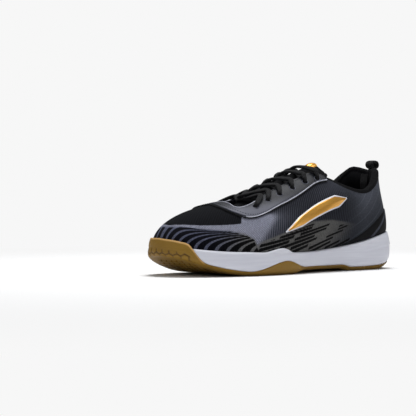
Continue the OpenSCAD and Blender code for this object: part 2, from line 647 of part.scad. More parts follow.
module pull_loop() {
    path = [
        [7.4, 0, 103.6], [4.4, 0, 103.9], [2.6, 0, 105.4], [2.2, 0, 107.7], [3.4, 0, 109.9],
        [6, 0, 110.8], [9, 0, 110.8], [11.6, 0, 109.7], [12.7, 0, 107.6], [12.1, 0, 105.7],
        [10.4, 0, 104.3], [7.8, 0, 103.6]
    ];
    color([0.05, 0.05, 0.05])
    strap(path, loop_w, loop_strap);
}

outsole();
midsole();
shank();
strobel_board();
insole();
knit_upper();
toe_puff();
heel_counter();
collar_foam();
quarter_lining();
vamp_lining();
collar_binding();
eyestay();
eyestay_piping();
heel_film();
side_emblem_border();
side_emblem();
tongue();
tongue_label();
lace();
aglets();
pull_loop_tab();
pull_loop();
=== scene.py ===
"""Looks of the left court shoe around its CAD frame.

The shoe's surfaces are built here again as fine meshes on the same design last as the CAD parts, so
each piece lies where its node does. Lengths are millimetres until a mesh is made.
"""
import math
import bmesh
import bpy
import numpy as np
from mathutils import Matrix, Vector


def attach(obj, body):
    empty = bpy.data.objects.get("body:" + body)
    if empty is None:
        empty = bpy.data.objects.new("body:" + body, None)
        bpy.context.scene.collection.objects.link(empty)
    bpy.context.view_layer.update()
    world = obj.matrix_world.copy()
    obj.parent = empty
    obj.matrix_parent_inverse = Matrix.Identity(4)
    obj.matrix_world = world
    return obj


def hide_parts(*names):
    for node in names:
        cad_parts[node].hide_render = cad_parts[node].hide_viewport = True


MM = 0.001
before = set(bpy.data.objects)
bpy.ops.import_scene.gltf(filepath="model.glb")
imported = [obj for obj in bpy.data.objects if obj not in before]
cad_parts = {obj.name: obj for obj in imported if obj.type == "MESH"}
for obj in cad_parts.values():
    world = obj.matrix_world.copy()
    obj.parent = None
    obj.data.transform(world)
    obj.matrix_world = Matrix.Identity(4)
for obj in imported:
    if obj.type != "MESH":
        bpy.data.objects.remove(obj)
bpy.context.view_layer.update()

# The design last: stations from the heel's back along the outer side, round the toe and back.
# Rows are [distance from the heel, sideways, height], as in the CAD part.
FEATHER = np.array([
    [5, 0, 38], [11, 21, 37.5], [32, 33, 34.5], [62, 36, 28.5], [92, 36, 24], [120, 38, 21.5],
    [146, 42, 20], [172, 47, 20], [198, 49.5, 20.5], [224, 48, 21.5], [250, 41, 22.5],
    [272, 29, 24.5], [286, 12, 27], [290, -7, 28],
    [285.5, -24, 27], [270, -37, 24.5], [246, -43.5, 22.5], [220, -45, 21.5], [195, -42.5, 20.5],
    [168, -36.5, 20.5], [140, -30, 21], [112, -28, 22.5], [84, -30, 25.5], [58, -32.5, 29.5],
    [32, -31.5, 34.5], [11, -20.5, 37.5]])
OPENING = np.array([
    [9, 0, 99], [15, 15, 100.2], [28, 25.5, 91], [44, 30.5, 81.5], [60, 32, 79.5], [80, 31, 84],
    [101, 27, 92], [115, 17, 97.5], [135, 14, 91], [155, 12.5, 83.5], [175, 11.5, 76.5],
    [192, 9.5, 71], [203, 5, 69.5], [206, -1, 69.5],
    [203, -7, 69.5], [192, -11.5, 70.5], [175, -13.5, 75.5], [155, -14.5, 82.5], [135, -16, 90],
    [115, -18.5, 96], [101, -27, 91], [80, -30, 85], [60, -31, 82], [44, -30, 84.5],
    [28.5, -26.2, 95.6], [17.5, -17.8, 102.6]])
# How a side leaves the feather line (outward, upward) and meets the opening (outward, downward)
HANDLE = np.array([
    [2.5, 22, -0.5, 26], [2.5, 21, 0, 24], [4, 18, 2, 22], [5, 16, 4, 18], [5, 18, 6, 20],
    [5, 20, 10, 20], [5, 22, 18, 20], [5, 22, 20, 20], [5, 20, 22, 17], [5, 20, 26, 13],
    [4, 20, 30, 10], [3, 22, 34, 6], [2, 24, 38, 4], [2, 25, 40, 3],
    [2, 24, 38, 4], [3, 22, 34, 6], [4, 20, 28, 10], [5, 20, 24, 13], [5, 21, 20, 17],
    [5, 22, 18, 20], [5, 22, 16, 20], [4, 20, 10, 20], [4, 19, 6, 20], [4, 17, 4, 18],
    [4, 18, 2, 22], [2.5, 21, 0, 24]])
# [station, height] of the rubber's top, and [station, rise above the feather line] of the foam's lip
RUBBER_TOP = np.array([
    [0, 13], [0.7, 10.5], [1.4, 6.5], [2, 4.6], [3, 3.8], [5, 4.8], [6, 6.4], [6.25, 6.6], [6.55, 7.4],
    [6.87, 10.2], [7.1, 12.3], [7.3, 13.3], [7.5, 13.4], [7.89, 11.6], [8.22, 9.2], [8.55, 6.6],
    [8.85, 4.8], [9.1, 4.3], [9.5, 5.2],
    [10.2, 8.4], [10.7, 11.5], [10.95, 15], [11.2, 23], [11.4, 29.5], [11.6, 31.6], [12.2, 34],
    [13, 35.5], [14, 35.5], [14.6, 33.5], [15.2, 29.5], [16, 24.8], [16.6, 24], [17.1, 26], [17.5, 28],
    [17.75, 27.5], [18, 22], [18.25, 14], [18.6, 8.5], [19, 6.8], [20, 6.6], [21, 6.3], [22, 4.6],
    [23, 3.8], [24, 4.6], [24.6, 6.5], [25.3, 10.5], [26, 13]])
LIP = np.array([
    [0, 1], [6.95, 1], [7.12, 1.8], [7.35, 4], [7.54, 5], [7.8, 4.6], [8.1, 3], [8.45, 1], [26, 1]])
# [station, share of the way up the side] of the throat's cut and of the eyestay's lower edge
THROAT = np.array([
    [9.5, 1], [9.9, 0.98], [10.3, 0.94], [10.6, 0.86], [10.8, 0.77], [11.05, 0.715], [11.4, 0.74],
    [11.9, 0.83], [12.4, 0.885], [13, 0.91]])
EYESTAY_EDGE = np.array([
    [6, 0.985], [6.4, 0.925], [6.8, 0.875], [7.4, 0.815], [8.06, 0.755], [9.06, 0.66], [9.56, 0.565],
    [9.8, 0.53], [10.14, 0.525], [10.52, 0.555], [11, 0.61], [11.66, 0.69], [12.4, 0.77], [13, 0.805]])
# [distance from the heel, height, half width, share of the padding, curve across]
TONGUE = np.array([
    [223, 57.5, 14, 0.05, 0.009], [214, 59.4, 21, 0.1, 0.009], [204, 60.8, 24, 0.3, 0.011],
    [194, 62, 23, 0.6, 0.014], [184, 64.2, 21, 0.95, 0.014], [172, 68, 20, 1.15, 0.016],
    [156, 73.5, 19.5, 1.3, 0.017], [140, 79.2, 19.5, 1.4, 0.017], [124, 84.6, 19.5, 1.42, 0.019],
    [108, 90, 19, 1.4, 0.018], [98, 94, 18, 1.3, 0.014], [92, 95.8, 16.5, 1, 0.014],
    [88, 96.6, 14, 0.45, 0.014]])
# [station, share of the way up the side] of the lace holes and of the lace's tucked end
LACE_ROWS = [(10.35, 0.71), (9.85, 0.8), (9.2, 0.845), (8.42, 0.88), (7.62, 0.895), (6.88, 0.905)]
TAIL = [(7.3, 0.845), (7.7, 0.81), (8.1, 0.79), (8.5, 0.775)]

STATIONS = len(FEATHER)
TOE = STATIONS / 2
# The box's middle, sideways and from the heel
MID_X, MID_T = 2.3, 146.9
# The sole's lip beyond the feather line, the glue gap, the rubber's overlap and the rubber under the foot
LIP_OUT, GAP, WRAP, RUBBER = 3.4, 0.25, 2.0, 3.2
# Thickness of each layer of the upper, and the gap between them
KNIT, LINING, FOAM, COUNTER, PUFF, INNER = 1.4, 1.0, 6.0, 1.2, 0.8, 0.45
LACE_W, LACE_T, HOLE_R = 5.6, 3.0, 2.7
# The pull loop's strap, its sewn legs, and their gaps to the skin and to the lining
LOOP_W, LOOP_T, TAB_T, TAB_OUT, TAB_IN = 9, 1.8, 1.3, 0.3, 2.0
TONGUE_RUN = 130
# The honeycomb's pitch and the depth of its grooves at the side and under the foot
TREAD, SIDE_GROOVE, FOOT_GROOVE = 7.4, 0.75, 1.3
# Stations averaged to ease a table's corners
EASE = (-0.1, -0.05, 0, 0.05, 0.1)
SIDES = [(i, s) for i in range(6) for s in (-1, 1)]
UP = np.array([0, 0, 1.0])


# ---- The last's surface -------------------------------------------------------------------------

def smooth(x):
    c = np.clip(x, 0, 1)
    return c * c * (3 - 2 * c)


def mix(a, b, f):
    return a + (b - a) * f


def unit(a):
    return a / np.linalg.norm(a, axis=-1, keepdims=True)


def spline(a, b, c, d, f):
    square, cube = 2 * a - 5 * b + 4 * c - d, 3 * b - a - 3 * c + d
    return 0.5 * (2 * b + (c - a) * f + square * f ** 2 + cube * f ** 3)


def along(table, u):
    """A closed table's smooth value at station u."""
    u = np.mod(np.asarray(u, float), STATIONS)
    i = np.floor(u).astype(int)
    a, b, c, d = (table[(i + k) % STATIONS] for k in (-1, 0, 1, 2))
    return spline(a, b, c, d, (u - i)[..., None])


def lookup(table, u):
    """A table of [station, value] read at u, its corners eased a little."""
    return sum(np.interp(np.mod(u + k, STATIONS), table[:, 0], table[:, 1]) for k in EASE) / len(EASE)


def place(p):
    return np.stack([p[..., 1] - MID_X, MID_T - p[..., 0], p[..., 2]], axis=-1)


def out_dir(u):
    d = along(FEATHER, u + 0.001) - along(FEATHER, u - 0.001)
    return unit(np.stack([-d[..., 1], d[..., 0], np.zeros_like(d[..., 0])], axis=-1))


def last_point(u, v):
    u, v = np.broadcast_arrays(np.asarray(u, float), np.asarray(v, float))
    f, e, h, o, v = along(FEATHER, u), along(OPENING, u), along(HANDLE, u), out_dir(u), v[..., None]
    a = f + o * h[..., :1] + UP * h[..., 1:2]
    b = e + o * h[..., 2:3] - UP * h[..., 3:4]
    w = 1 - v
    curve = f * w ** 3 + a * 3 * v * w ** 2 + b * 3 * v ** 2 * w + e * v ** 3
    return np.where(v < 0, f + (a - f) * 3 * v, curve)


def skin(u, v):
    return place(last_point(u, v))


def skin_normal(u, v):
    e = 0.004
    return unit(np.cross(skin(u, v + e) - skin(u, v - e), skin(u + e, v) - skin(u - e, v)))


def off(u, v, depth):
    """The point of the last at (u, v), moved out along its normal."""
    return skin(u, v) + skin_normal(u, v) * np.asarray(depth, float)[..., None]


def rise_v(u, rise):
    return rise / (3 * along(HANDLE, u)[..., 1])


def heel_u(u):
    w = np.mod(u, STATIONS)
    return np.where(w > TOE, w - STATIONS, w)


def folded(u):
    """The station on the outer side that matches u on either side."""
    return TOE - np.abs(np.mod(u, STATIONS) - TOE)


FINE_U = np.linspace(0, STATIONS, 2601)
FINE_RUN = np.concatenate([[0], np.cumsum(np.linalg.norm(np.diff(along(FEATHER, FINE_U), axis=0), axis=1))])


def run(u):
    """Distance round the feather line from the heel to station u."""
    return np.interp(u, FINE_U, FINE_RUN)


def toe_run(u):
    """Distance from the toe's tip along either side."""
    return np.abs(run(np.mod(u, STATIONS)) - run(TOE))


def even_stations(first, last, count):
    """Stations from first to last, evenly spaced along the feather line. They may pass the heel's seam."""
    def distance(u):
        return run(np.mod(u, STATIONS)) + FINE_RUN[-1] * np.floor(u / STATIONS)
    u = np.linspace(first, last, 4000)
    return np.interp(np.linspace(distance(first), distance(last), count), distance(u), u)


# ---- The sole's and the inner layers' surfaces --------------------------------------------------

def ground(t):
    arch = 3 * smooth((t - 76) / 18) * (1 - smooth((t - 148) / 20))
    return arch + 2.6 * np.maximum(0, (18 - t) / 14) ** 2 + 20 * np.maximum(0, (t - 215) / 80) ** 2


def heel_part(t):
    return smooth(1 - t / 45)


def sole_out(t):
    return LIP_OUT - 1.4 * heel_part(t)


def wall(u, z):
    f = along(FEATHER, u)
    t, top = f[..., 0], f[..., 2]
    low, heel = ground(t), heel_part(t)
    s = np.clip((z - low) / (top - low), 0, 1)
    return sole_out(t) + mix(1, 3.4, heel) * 4 * s * (1 - s) - mix(6.2, 9, heel) * (1 - s) ** mix(9, 7, heel)


def side(u, z, d):
    """Point of the sole's side at height z: on the wall, or on the upper above the feather line."""
    u, z, d = np.broadcast_arrays(np.asarray(u, float), z, d)
    f = along(FEATHER, u)
    rise = z - f[..., 2]
    flat = np.stack([f[..., 0], f[..., 1], z], axis=-1) + out_dir(u) * (wall(u, z) + d)[..., None]
    above = off(u, rise_v(u, np.maximum(rise, 0)), sole_out(f[..., 0]) + d - 0.115 * np.maximum(rise, 0))
    return np.where((rise <= 0)[..., None], place(flat), above)


def feather_z(u):
    return along(FEATHER, u)[..., 2]


def ground_z(u):
    return ground(along(FEATHER, u)[..., 0])


def lip_z(u):
    return feather_z(u) + lookup(LIP, u)


def lip_v(u):
    return rise_v(u, lip_z(u) - feather_z(u))


def rubber_z(u):
    return np.maximum(lookup(RUBBER_TOP, u), ground_z(u) + RUBBER + 0.4)


def cup_v(u):
    return -rise_v(u, mix(4, 11, smooth(1 - along(FEATHER, u)[..., 0] / 120)))


def foam_depth(u, v):
    reach = 1 - smooth((np.abs(heel_u(u)) - 3.6) / 2.5)
    return FOAM * reach * smooth((v - 0.5) / 0.26) * (1 - 0.35 * smooth((v - 0.84) / 0.16))


def lining_depth(u, v):
    w = np.abs(heel_u(u))
    counter = (COUNTER + INNER) * (1 - smooth((w - 3.5) / 1.4))
    puff = (PUFF + INNER) * smooth((w - 9.2) / 1.2)
    foam = foam_depth(u, v) + INNER * smooth((v - 0.5) / 0.1)
    return KNIT + INNER + np.maximum(np.maximum(counter, puff), foam)


def eased(table, u, reach=1.0):
    """A one-sided table of [station, value] read at u on either side, its corners eased."""
    return sum(np.interp(folded(u + reach * k), table[:, 0], table[:, 1]) for k in EASE) / len(EASE)


def throat_v(u):
    return eased(THROAT, u)


def eyestay_v(u):
    return eased(EYESTAY_EDGE, u, 1.6)


# ---- Meshes ------------------------------------------------------------------------------------

def cell_faces(n, m, close_n=False, close_m=False):
    """Quads of a grid of n rows of m points."""
    rows, columns = n if close_n else n - 1, m if close_m else m - 1
    i, j = np.meshgrid(np.arange(rows), np.arange(columns), indexing="ij")
    i, j, k, l = i.ravel(), j.ravel(), ((i + 1) % n).ravel(), ((j + 1) % m).ravel()
    return np.stack([i * m + j, i * m + l, k * m + l, k * m + j], axis=1)


def distances(points, axis):
    """Distance run along a grid's rows or columns."""
    steps = np.linalg.norm(np.diff(points, axis=axis), axis=-1)
    start = np.zeros_like(np.take(steps, [0], axis=axis))
    return np.concatenate([start, np.cumsum(steps, axis=axis)], axis=axis)


def grid_normals(points):
    """Outward normals of a grid whose first axis runs with the stations and second one upward."""
    return unit(np.cross(np.gradient(points, axis=1), np.gradient(points, axis=0)) + 1e-12)


def in_scene(name, data):
    obj = bpy.data.objects.new(name, data)
    bpy.context.scene.collection.objects.link(obj)
    return obj


def circle(count, turn=0.0):
    """Cosines and sines of evenly spaced directions."""
    angle = (np.arange(count) + turn) / count * 2 * np.pi
    return np.cos(angle), np.sin(angle)


class Shape:
    """Grids of points in one mesh, with a flat map in millimetres and named numbers on its points."""

    def __init__(self):
        self.points, self.faces, self.flat, self.values = [], [], [], {}
        self.count = 0

    def grid(self, points, close_n=False, close_m=False, flat=None, **values):
        n, m = points.shape[:2]
        faces = cell_faces(n, m, close_n, close_m)
        if flat is None:
            flat = np.stack([distances(points, 0), distances(points, 1)], axis=-1)
        corners = flat[faces // m % n, faces % m]
        if close_n:
            corners = self.unwrapped(corners, 0)
        if close_m:
            corners = self.unwrapped(corners, 1)
        self.points.append(points.reshape(-1, 3))
        self.faces += (faces + self.count).tolist()
        self.flat.append(corners.reshape(-1, 2))
        for name, value in values.items():
            full = np.broadcast_to(np.asarray(value, float), (n, m)).ravel()
            self.values.setdefault(name, []).append((self.count, full))
        self.count += n * m
        return self

    @staticmethod
    def unwrapped(corners, axis):
        """Keeps the flat map from running backwards across the cell that closes a ring."""
        along_axis = corners[..., axis]
        low, high = along_axis.min(axis=1, keepdims=True), along_axis.max(axis=1, keepdims=True)
        step = np.median(high - low)
        jump = (high - low) > 20 * step + 1
        corners[..., axis] = np.where(jump & (along_axis < (low + high) / 2), high + step, along_axis)
        return corners

    def cap(self, loop, flip=False):
        """A flat end on a loop of points, built as quads between its two halves."""
        half = len(loop) // 2
        first, second = loop[:half], loop[half:][::-1]
        return self.grid(np.stack([first, second] if flip else [second, first]))

    def build(self, name, weld=1e-6, sharp=None):
        mesh = bpy.data.meshes.new(name)
        mesh.from_pydata((np.concatenate(self.points) * MM).tolist(), [], self.faces)
        layer = mesh.uv_layers.new(name="flat")
        layer.data.foreach_set("uv", np.concatenate(self.flat).astype(np.float32).ravel())
        for key, parts in self.values.items():
            data = np.zeros(self.count, np.float32)
            for start, values in parts:
                data[start:start + len(values)] = values
            mesh.attributes.new(key, "FLOAT", "POINT").data.foreach_set("value", data)
        work = bmesh.new()
        work.from_mesh(mesh)
        bmesh.ops.remove_doubles(work, verts=work.verts, dist=weld)
        bmesh.ops.recalc_face_normals(work, faces=work.faces)
        work.to_mesh(mesh)
        work.free()
        mesh.shade_smooth()
        if sharp:
            mesh.set_sharp_from_angle(angle=math.radians(sharp))
        return in_scene(name, mesh)


def capped(name, loops, sharp=None, flat=None):
    """Loops joined into a tube and closed at both ends."""
    shape = Shape().grid(loops, close_m=True, flat=flat)
    shape.cap(loops[0])
    shape.cap(loops[-1], flip=True)
    return shape.build(name, sharp=sharp)


def edge_steps(rows):
    """Fractions from 0 to 1 that lie closer together at both ends."""
    x = np.linspace(0, 1, rows + 1)
    return mix(x, (1 - np.cos(np.pi * x)) / 2, 0.6)


def rounded(distance, radius):
    """Height of a rounded edge, from 0 at the rim to 1 past the radius."""
    x = np.clip(distance / radius, 0, 1)
    return np.sqrt(np.maximum(0, 1 - (1 - x) ** 2))


BACK_ROWS = 6


def cover(us, low, high, inner, outer, rows=24, radius=0.5, ends=True, relief=None):
    """A layer that follows the last, with rounded rims: its loops, flat map and the front's (u, v, up)."""
    low_v, high_v = low(us)[:, None], high(us)[:, None]
    down = np.linspace(0, 1, BACK_ROWS + 1)[None]
    v = mix(low_v, high_v, edge_steps(rows)[None])
    u = np.broadcast_to(us[:, None], v.shape)
    base = off(u, v, inner(u, v))
    up = distances(base, 1)
    edge = np.minimum(up, up[:, -1:] - up)
    if ends:
        sideways = distances(base, 0)
        edge = np.minimum(edge, np.minimum(sideways, sideways[-1:] - sideways))
    thick = (outer(u, v) - inner(u, v)) * mix(0.12, 1, rounded(edge, radius))
    if relief is not None:
        thick = thick + relief(u, v, up)
    front = off(u, v, inner(u, v) + thick)
    back_v = mix(high_v, low_v, down)
    back_u = np.broadcast_to(us[:, None], back_v.shape)
    behind = off(back_u, back_v, inner(back_u, back_v))
    heights = np.concatenate([up, mix(up[:, -1:], up[:, :1], down)], axis=1)
    flat = np.stack(np.broadcast_arrays(toe_run(us)[:, None], heights), axis=-1)
    return np.concatenate([front, behind], axis=1), flat, (u, v, up)


def layer_piece(name, us, low, high, inner, outer, closed=False, sharp=None, values=None, **options):
    loops, flat, (u, v, up) = cover(us, low, high, inner, outer, ends=not closed, **options)
    extra = {}
    if values:
        back = loops.shape[1] - u.shape[1]
        for key, field in values(u, v, up).items():
            extra[key] = np.concatenate([field, np.repeat(field[:, -1:], back, axis=1)], axis=1)
    shape = Shape().grid(loops, close_n=closed, close_m=True, flat=flat, **extra)
    if not closed:
        for end, turn in ((loops[0], False), (loops[-1], True)):
            front, behind = end[:u.shape[1]], end[u.shape[1]:][::-1]
            steps = np.linspace(0, 1, len(front)), np.linspace(0, 1, len(behind))
            matched = np.stack([np.interp(steps[0], steps[1], behind[:, k]) for k in range(3)], axis=1)
            shape.grid(np.stack([front, matched] if turn else [matched, front]))
    return shape.build(name, sharp=sharp)


def rings(path, first, second, ways):
    """Ellipses round a path's points; first and second are their half axes, ways are cosines and sines."""
    cos, sin = (way[None, :, None] for way in ways)
    return path[:, None] + first[:, None] * cos + second[:, None] * sin


def tube(name, path, radius):
    """A round cord along a path of points."""
    direction = unit(np.gradient(path, axis=0))
    up = unit(UP - direction * direction[:, 2:])
    return capped(name, rings(path, radius * np.cross(direction, up), radius * up, circle(10)))


def resample(table, step):
    """Rows that begin with a point, spaced a step apart along the smooth curve through the points."""
    padded = np.concatenate([[2 * table[0] - table[1]], table, [2 * table[-1] - table[-2]]])
    f = np.linspace(0, 1, 12, endpoint=False)[:, None]
    fine = np.concatenate([spline(*padded[i:i + 4], f) for i in range(len(table) - 1)] + [table[-1:]])
    length = distances(fine[:, :3], 0)
    at = np.linspace(0, length[-1], int(length[-1] / step) + 1)
    return np.stack([np.interp(at, length, column) for column in fine.T], axis=1)


def join(name, pieces):
    """Several objects made into one, under one name."""
    work = bmesh.new()
    for piece in pieces:
        work.from_mesh(piece.data)
        mesh = piece.data
        bpy.data.objects.remove(piece)
        bpy.data.meshes.remove(mesh)
    mesh = bpy.data.meshes.new(name)
    work.to_mesh(mesh)
    work.free()
    mesh.shade_smooth()
    return in_scene(name, mesh)


THREAD = 0.28
THREAD_LIFT = np.array([-1.6, 0.2, 0.7, 0.2, -1.6])[:, None] * THREAD - 0.05
THREAD_GIRTH = np.array([0.35, 0.9, 1, 0.9, 0.35])[:, None] * THREAD


def stitches(name, path, normals, pitch=2.6, length=1.9):
    """A row of sewn stitches along a path: short thread segments that dip into the cloth at both ends."""
    run_length = distances(path, 0)
    shape = Shape()
    for k in range(int((run_length[-1] - length) // pitch)):
        at = (k + 0.5) * pitch + np.linspace(-0.5, 0.5, 5) * length
        centre = np.stack([np.interp(at, run_length, column) for column in path.T], axis=1)
        normal = unit(np.stack([np.interp(at, run_length, column) for column in normals.T], axis=1))
        centre = centre + normal * THREAD_LIFT
        sideways = unit(np.cross(np.gradient(centre, axis=0), normal))
        shape.grid(rings(centre, THREAD_GIRTH * sideways, THREAD_GIRTH * normal, circle(6)), close_m=True)
    return shape.build(name)


# ---- Materials ---------------------------------------------------------------------------------

def srgb(r, g, b):
    """A colour given as a screen shows it, 0 to 255."""
    c = np.array([r, g, b]) / 255
    linear = np.where(c <= 0.04045, c / 12.92, ((c + 0.055) / 1.055) ** 2.4)
    return (*[float(x) for x in linear], 1.0)


def grey(x):
    return (x, x, x, 1)


class Graph:
    """A material and short calls that add nodes to it."""

    def __init__(self, name, **sockets):
        self.material = bpy.data.materials.new(name)
        self.material.use_nodes = True
        self.tree = self.material.node_tree
        self.shader = self.tree.nodes["Principled BSDF"]
        for key, value in sockets.items():
            self.shader.inputs[key.replace("_", " ").title().replace("Ior", "IOR")].default_value = value

    def feed(self, socket, value):
        if isinstance(value, bpy.types.NodeSocket):
            self.tree.links.new(value, socket)
        else:
            socket.default_value = value

    def add(self, kind, *inputs, **props):
        node = self.tree.nodes.new("ShaderNode" + kind)
        for key, value in props.items():
            setattr(node, key, value)
        for socket, value in zip(node.inputs, inputs):
            if value is not None:
                self.feed(socket, value)
        return node

    def math(self, operation, *values):
        return self.add("Math", *values, operation=operation).outputs[0]

    def times(self, a, b):
        return self.math("MULTIPLY", a, b)

    def mix(self, factor, a, b):
        node = self.add("Mix", data_type="RGBA")
        for index, value in ((0, factor), (6, a), (7, b)):
            self.feed(node.inputs[index], value)
        return node.outputs[2]

    def value(self, name):
        return self.add("Attribute", attribute_name=name).outputs["Fac"]

    def flat(self):
        """The two millimetre distances of the piece's flat map."""
        parts = self.add("SeparateXYZ", self.add("UVMap", uv_map="flat").outputs[0])
        return parts.outputs[0], parts.outputs[1]

    def place(self):
        """The point in the part's own frame, in metres."""
        return self.add("TexCoord").outputs["Object"]

    def noise(self, scale, detail=2.0, roughness=0.5, where=None):
        node = self.add("TexNoise", where if where is not None else self.place())
        for key, value in (("Scale", scale), ("Detail", detail), ("Roughness", roughness)):
            node.inputs[key].default_value = value
        return node.outputs["Fac"]

    def step(self, value, low, high):
        """0 below low, 1 above high, smooth between."""
        node = self.add("MapRange", value, interpolation_type="SMOOTHSTEP")
        node.inputs["From Min"].default_value = low
        node.inputs["From Max"].default_value = high
        return node.outputs[0]

    def wave(self, value, pitch, power=1.0):
        """A ridge of height 0 to 1 that repeats every pitch."""
        turned = self.math("ABSOLUTE", self.math("SINE", self.times(value, math.pi / pitch)))
        return self.math("POWER", turned, power) if power != 1 else turned

    def threads(self, pitch):
        """Two sets of slanting threads that cross, over the flat map."""
        s, h = self.flat()
        return self.times(*(self.wave(self.math(way, s, h), pitch) for way in ("ADD", "SUBTRACT")))

    def stretched(self, scale):
        """The point in the frame, scaled apart on each axis, for noise that runs in lines."""
        node = self.add("Mapping", self.place())
        node.inputs["Scale"].default_value = scale
        return node.outputs[0]

    def color(self, value):
        self.feed(self.shader.inputs["Base Color"], value)

    def roughness(self, value):
        self.feed(self.shader.inputs["Roughness"], value)

    def bump(self, height, depth_mm, strength=1.0):
        node = self.add("Bump")
        node.inputs["Strength"].default_value = strength
        node.inputs["Distance"].default_value = depth_mm * MM
        self.feed(node.inputs["Height"], height)
        self.tree.links.new(node.outputs[0], self.shader.inputs["Normal"])


def knit_material():
    """The jacquard knit: ribs, a toe panel, a pale band, curved stripes round the toe and slanted dashes."""
    g = Graph("knit", roughness=0.9, sheen_weight=0.01, sheen_roughness=0.5, specular_ior_level=0.06)
    s, h = g.flat()
    lean = g.math("MULTIPLY_ADD", h, 0.5, s)
    ribs = g.wave(lean, 2.9, 1.6)
    stitch = g.wave(h, 1.5)
    tone = g.value("tone")
    dark = g.mix(tone, srgb(5, 6, 8), srgb(50, 52, 61))
    light = g.mix(tone, srgb(27, 30, 37), srgb(110, 112, 125))
    smooth_part = g.value("plain")
    rib_height = g.times(ribs, g.math("SUBTRACT", 1.0, smooth_part))
    cloth = g.mix(g.times(rib_height, 0.85), dark, light)
    plain = g.mix(tone, srgb(39, 41, 46), srgb(108, 112, 124))
    cloth = g.mix(smooth_part, cloth, plain)
    toe = g.step(g.value("toe"), -0.4, 0.4)
    weave = g.times(g.wave(lean, 2.2), stitch)
    cloth = g.mix(toe, cloth, g.mix(weave, srgb(3, 3, 5), srgb(23, 25, 31)))
    band = g.step(g.value("band"), 0.0, 1.2)
    dots = g.times(g.wave(s, 1.9), g.wave(h, 1.6))
    cloth = g.mix(g.times(band, 0.85), cloth, g.mix(dots, srgb(74, 77, 91), srgb(188, 190, 208)))
    between = g.mix(g.value("warm"), srgb(98, 102, 124), srgb(112, 111, 108))
    ground = g.mix(stitch, g.mix(0.5, between, srgb(18, 18, 24)), between)
    cloth = g.mix(g.times(g.value("strong"), 0.75), cloth, ground)
    stripe = g.step(g.value("stripe"), -0.3, 0.3)
    cloth = g.mix(stripe, cloth, g.mix(g.value("warm"), srgb(7, 8, 16), srgb(6, 6, 7)))
    g.color(g.mix(g.step(g.noise(700, 3), 0.3, 0.75), g.mix(0.25, cloth, srgb(0, 0, 0)), cloth))
    relief = g.math("ADD", g.times(rib_height, 0.7), g.times(stitch, 0.35))
    g.bump(g.math("SUBTRACT", relief, g.times(stripe, 0.5)), 0.5, 0.8)
    return g.material


def fabric_material(name, low, high, pitch, depth=0.35):
    """Plain cloth with crossing threads."""
    g = Graph(name, roughness=0.9, sheen_weight=0.01, sheen_roughness=0.5, specular_ior_level=0.08)
    threads = g.threads(pitch)
    g.color(g.mix(g.times(threads, g.step(g.noise(260), 0.2, 0.7)), low, high))
    g.bump(threads, depth, 0.7)
    return g.material


def mesh_lining_material():
    """Spacer mesh: small round holes in rows."""
    g = Graph("lining", roughness=0.92, sheen_weight=0.0, specular_ior_level=0.04)
    pit = g.step(g.threads(2.2), 0.35, 0.7)
    # Painted shade: the holes are drawn darker than the mesh round them.
    g.color(g.mix(pit, srgb(13, 13, 15), srgb(2, 2, 3)))
    g.bump(g.math("SUBTRACT", 1.0, pit), 0.5, 0.7)
    return g.material


def webbing_material(name="webbing", low=srgb(3, 3, 4), high=srgb(23, 23, 26), pitch=1.3):
    """Herringbone tape: slanting threads that turn at the middle."""
    g = Graph(name, roughness=0.8, sheen_weight=0.03, sheen_roughness=0.4, specular_ior_level=0.2)
    s, h = g.flat()
    turned = g.math("ABSOLUTE", g.math("SUBTRACT", g.math("MODULO", h, 4.0), 2.0))
    threads = g.wave(g.math("ADD", s, turned), pitch)
    g.color(g.mix(g.times(threads, g.step(g.noise(300), 0.15, 0.8)), low, high))
    g.bump(threads, 0.35, 0.8)
    return g.material


def rubber_material():
    g = Graph("gum_rubber", roughness=0.55, ior=1.5, specular_ior_level=0.3)
    base = g.mix(g.noise(28, 4, 0.6), srgb(114, 84, 22), srgb(138, 105, 30))
    # Painted highlight: the rolled top edge is drawn paler.
    base = g.mix(g.times(g.step(g.value("rim"), 0.0, 1.0), 0.65), base, srgb(212, 168, 106))
    # Painted shade: the honeycomb's and the tread's grooves are drawn darker.
    g.color(g.mix(g.times(g.value("groove"), 0.8), base, srgb(62, 38, 12)))
    grain = g.noise(900, 3)
    g.roughness(g.mix(grain, grey(0.42), grey(0.66)))
    g.bump(grain, 0.12, 0.5)
    return g.material


def midsole_material():
    """Moulded foam with faint level lines."""
    g = Graph("midsole_foam", roughness=0.52, ior=1.46)
    lines = g.noise(1.0, 3, 0.6, g.stretched((18, 18, 420)))
    g.color(g.mix(g.times(g.step(lines, 0.35, 0.7), 0.5), srgb(208, 209, 218), srgb(193, 194, 206)))
    g.bump(g.math("MULTIPLY_ADD", lines, 0.7, g.times(g.noise(1100, 2), 0.5)), 0.14, 0.6)
    return g.material


def film_material(name, low, high, rough=0.45, depth=0.08, coat=0.15, shade=None):
    """Bonded film: nearly smooth, with a fine leathery grain. A third colour, if given, is painted shade,
    laid on where the piece's mask is high.
    """
    g = Graph(name, roughness=rough, ior=1.48, specular_ior_level=0.2, coat_weight=coat, coat_roughness=0.4)
    cells = g.add("TexVoronoi", g.place(), feature="DISTANCE_TO_EDGE")
    cells.inputs["Scale"].default_value = 900
    grain = g.step(cells.outputs[0], 0.0, 0.12)
    base = g.mix(g.noise(35, 3), low, high)
    # Painted shade: the base turns toward the darker shade colour where the mask is high.
    g.color(g.mix(g.value("shade"), base, shade) if shade else base)
    g.roughness(g.mix(g.noise(180, 3), grey(rough - 0.07), grey(rough + 0.1)))
    g.bump(grain, depth, 0.6)
    return g.material


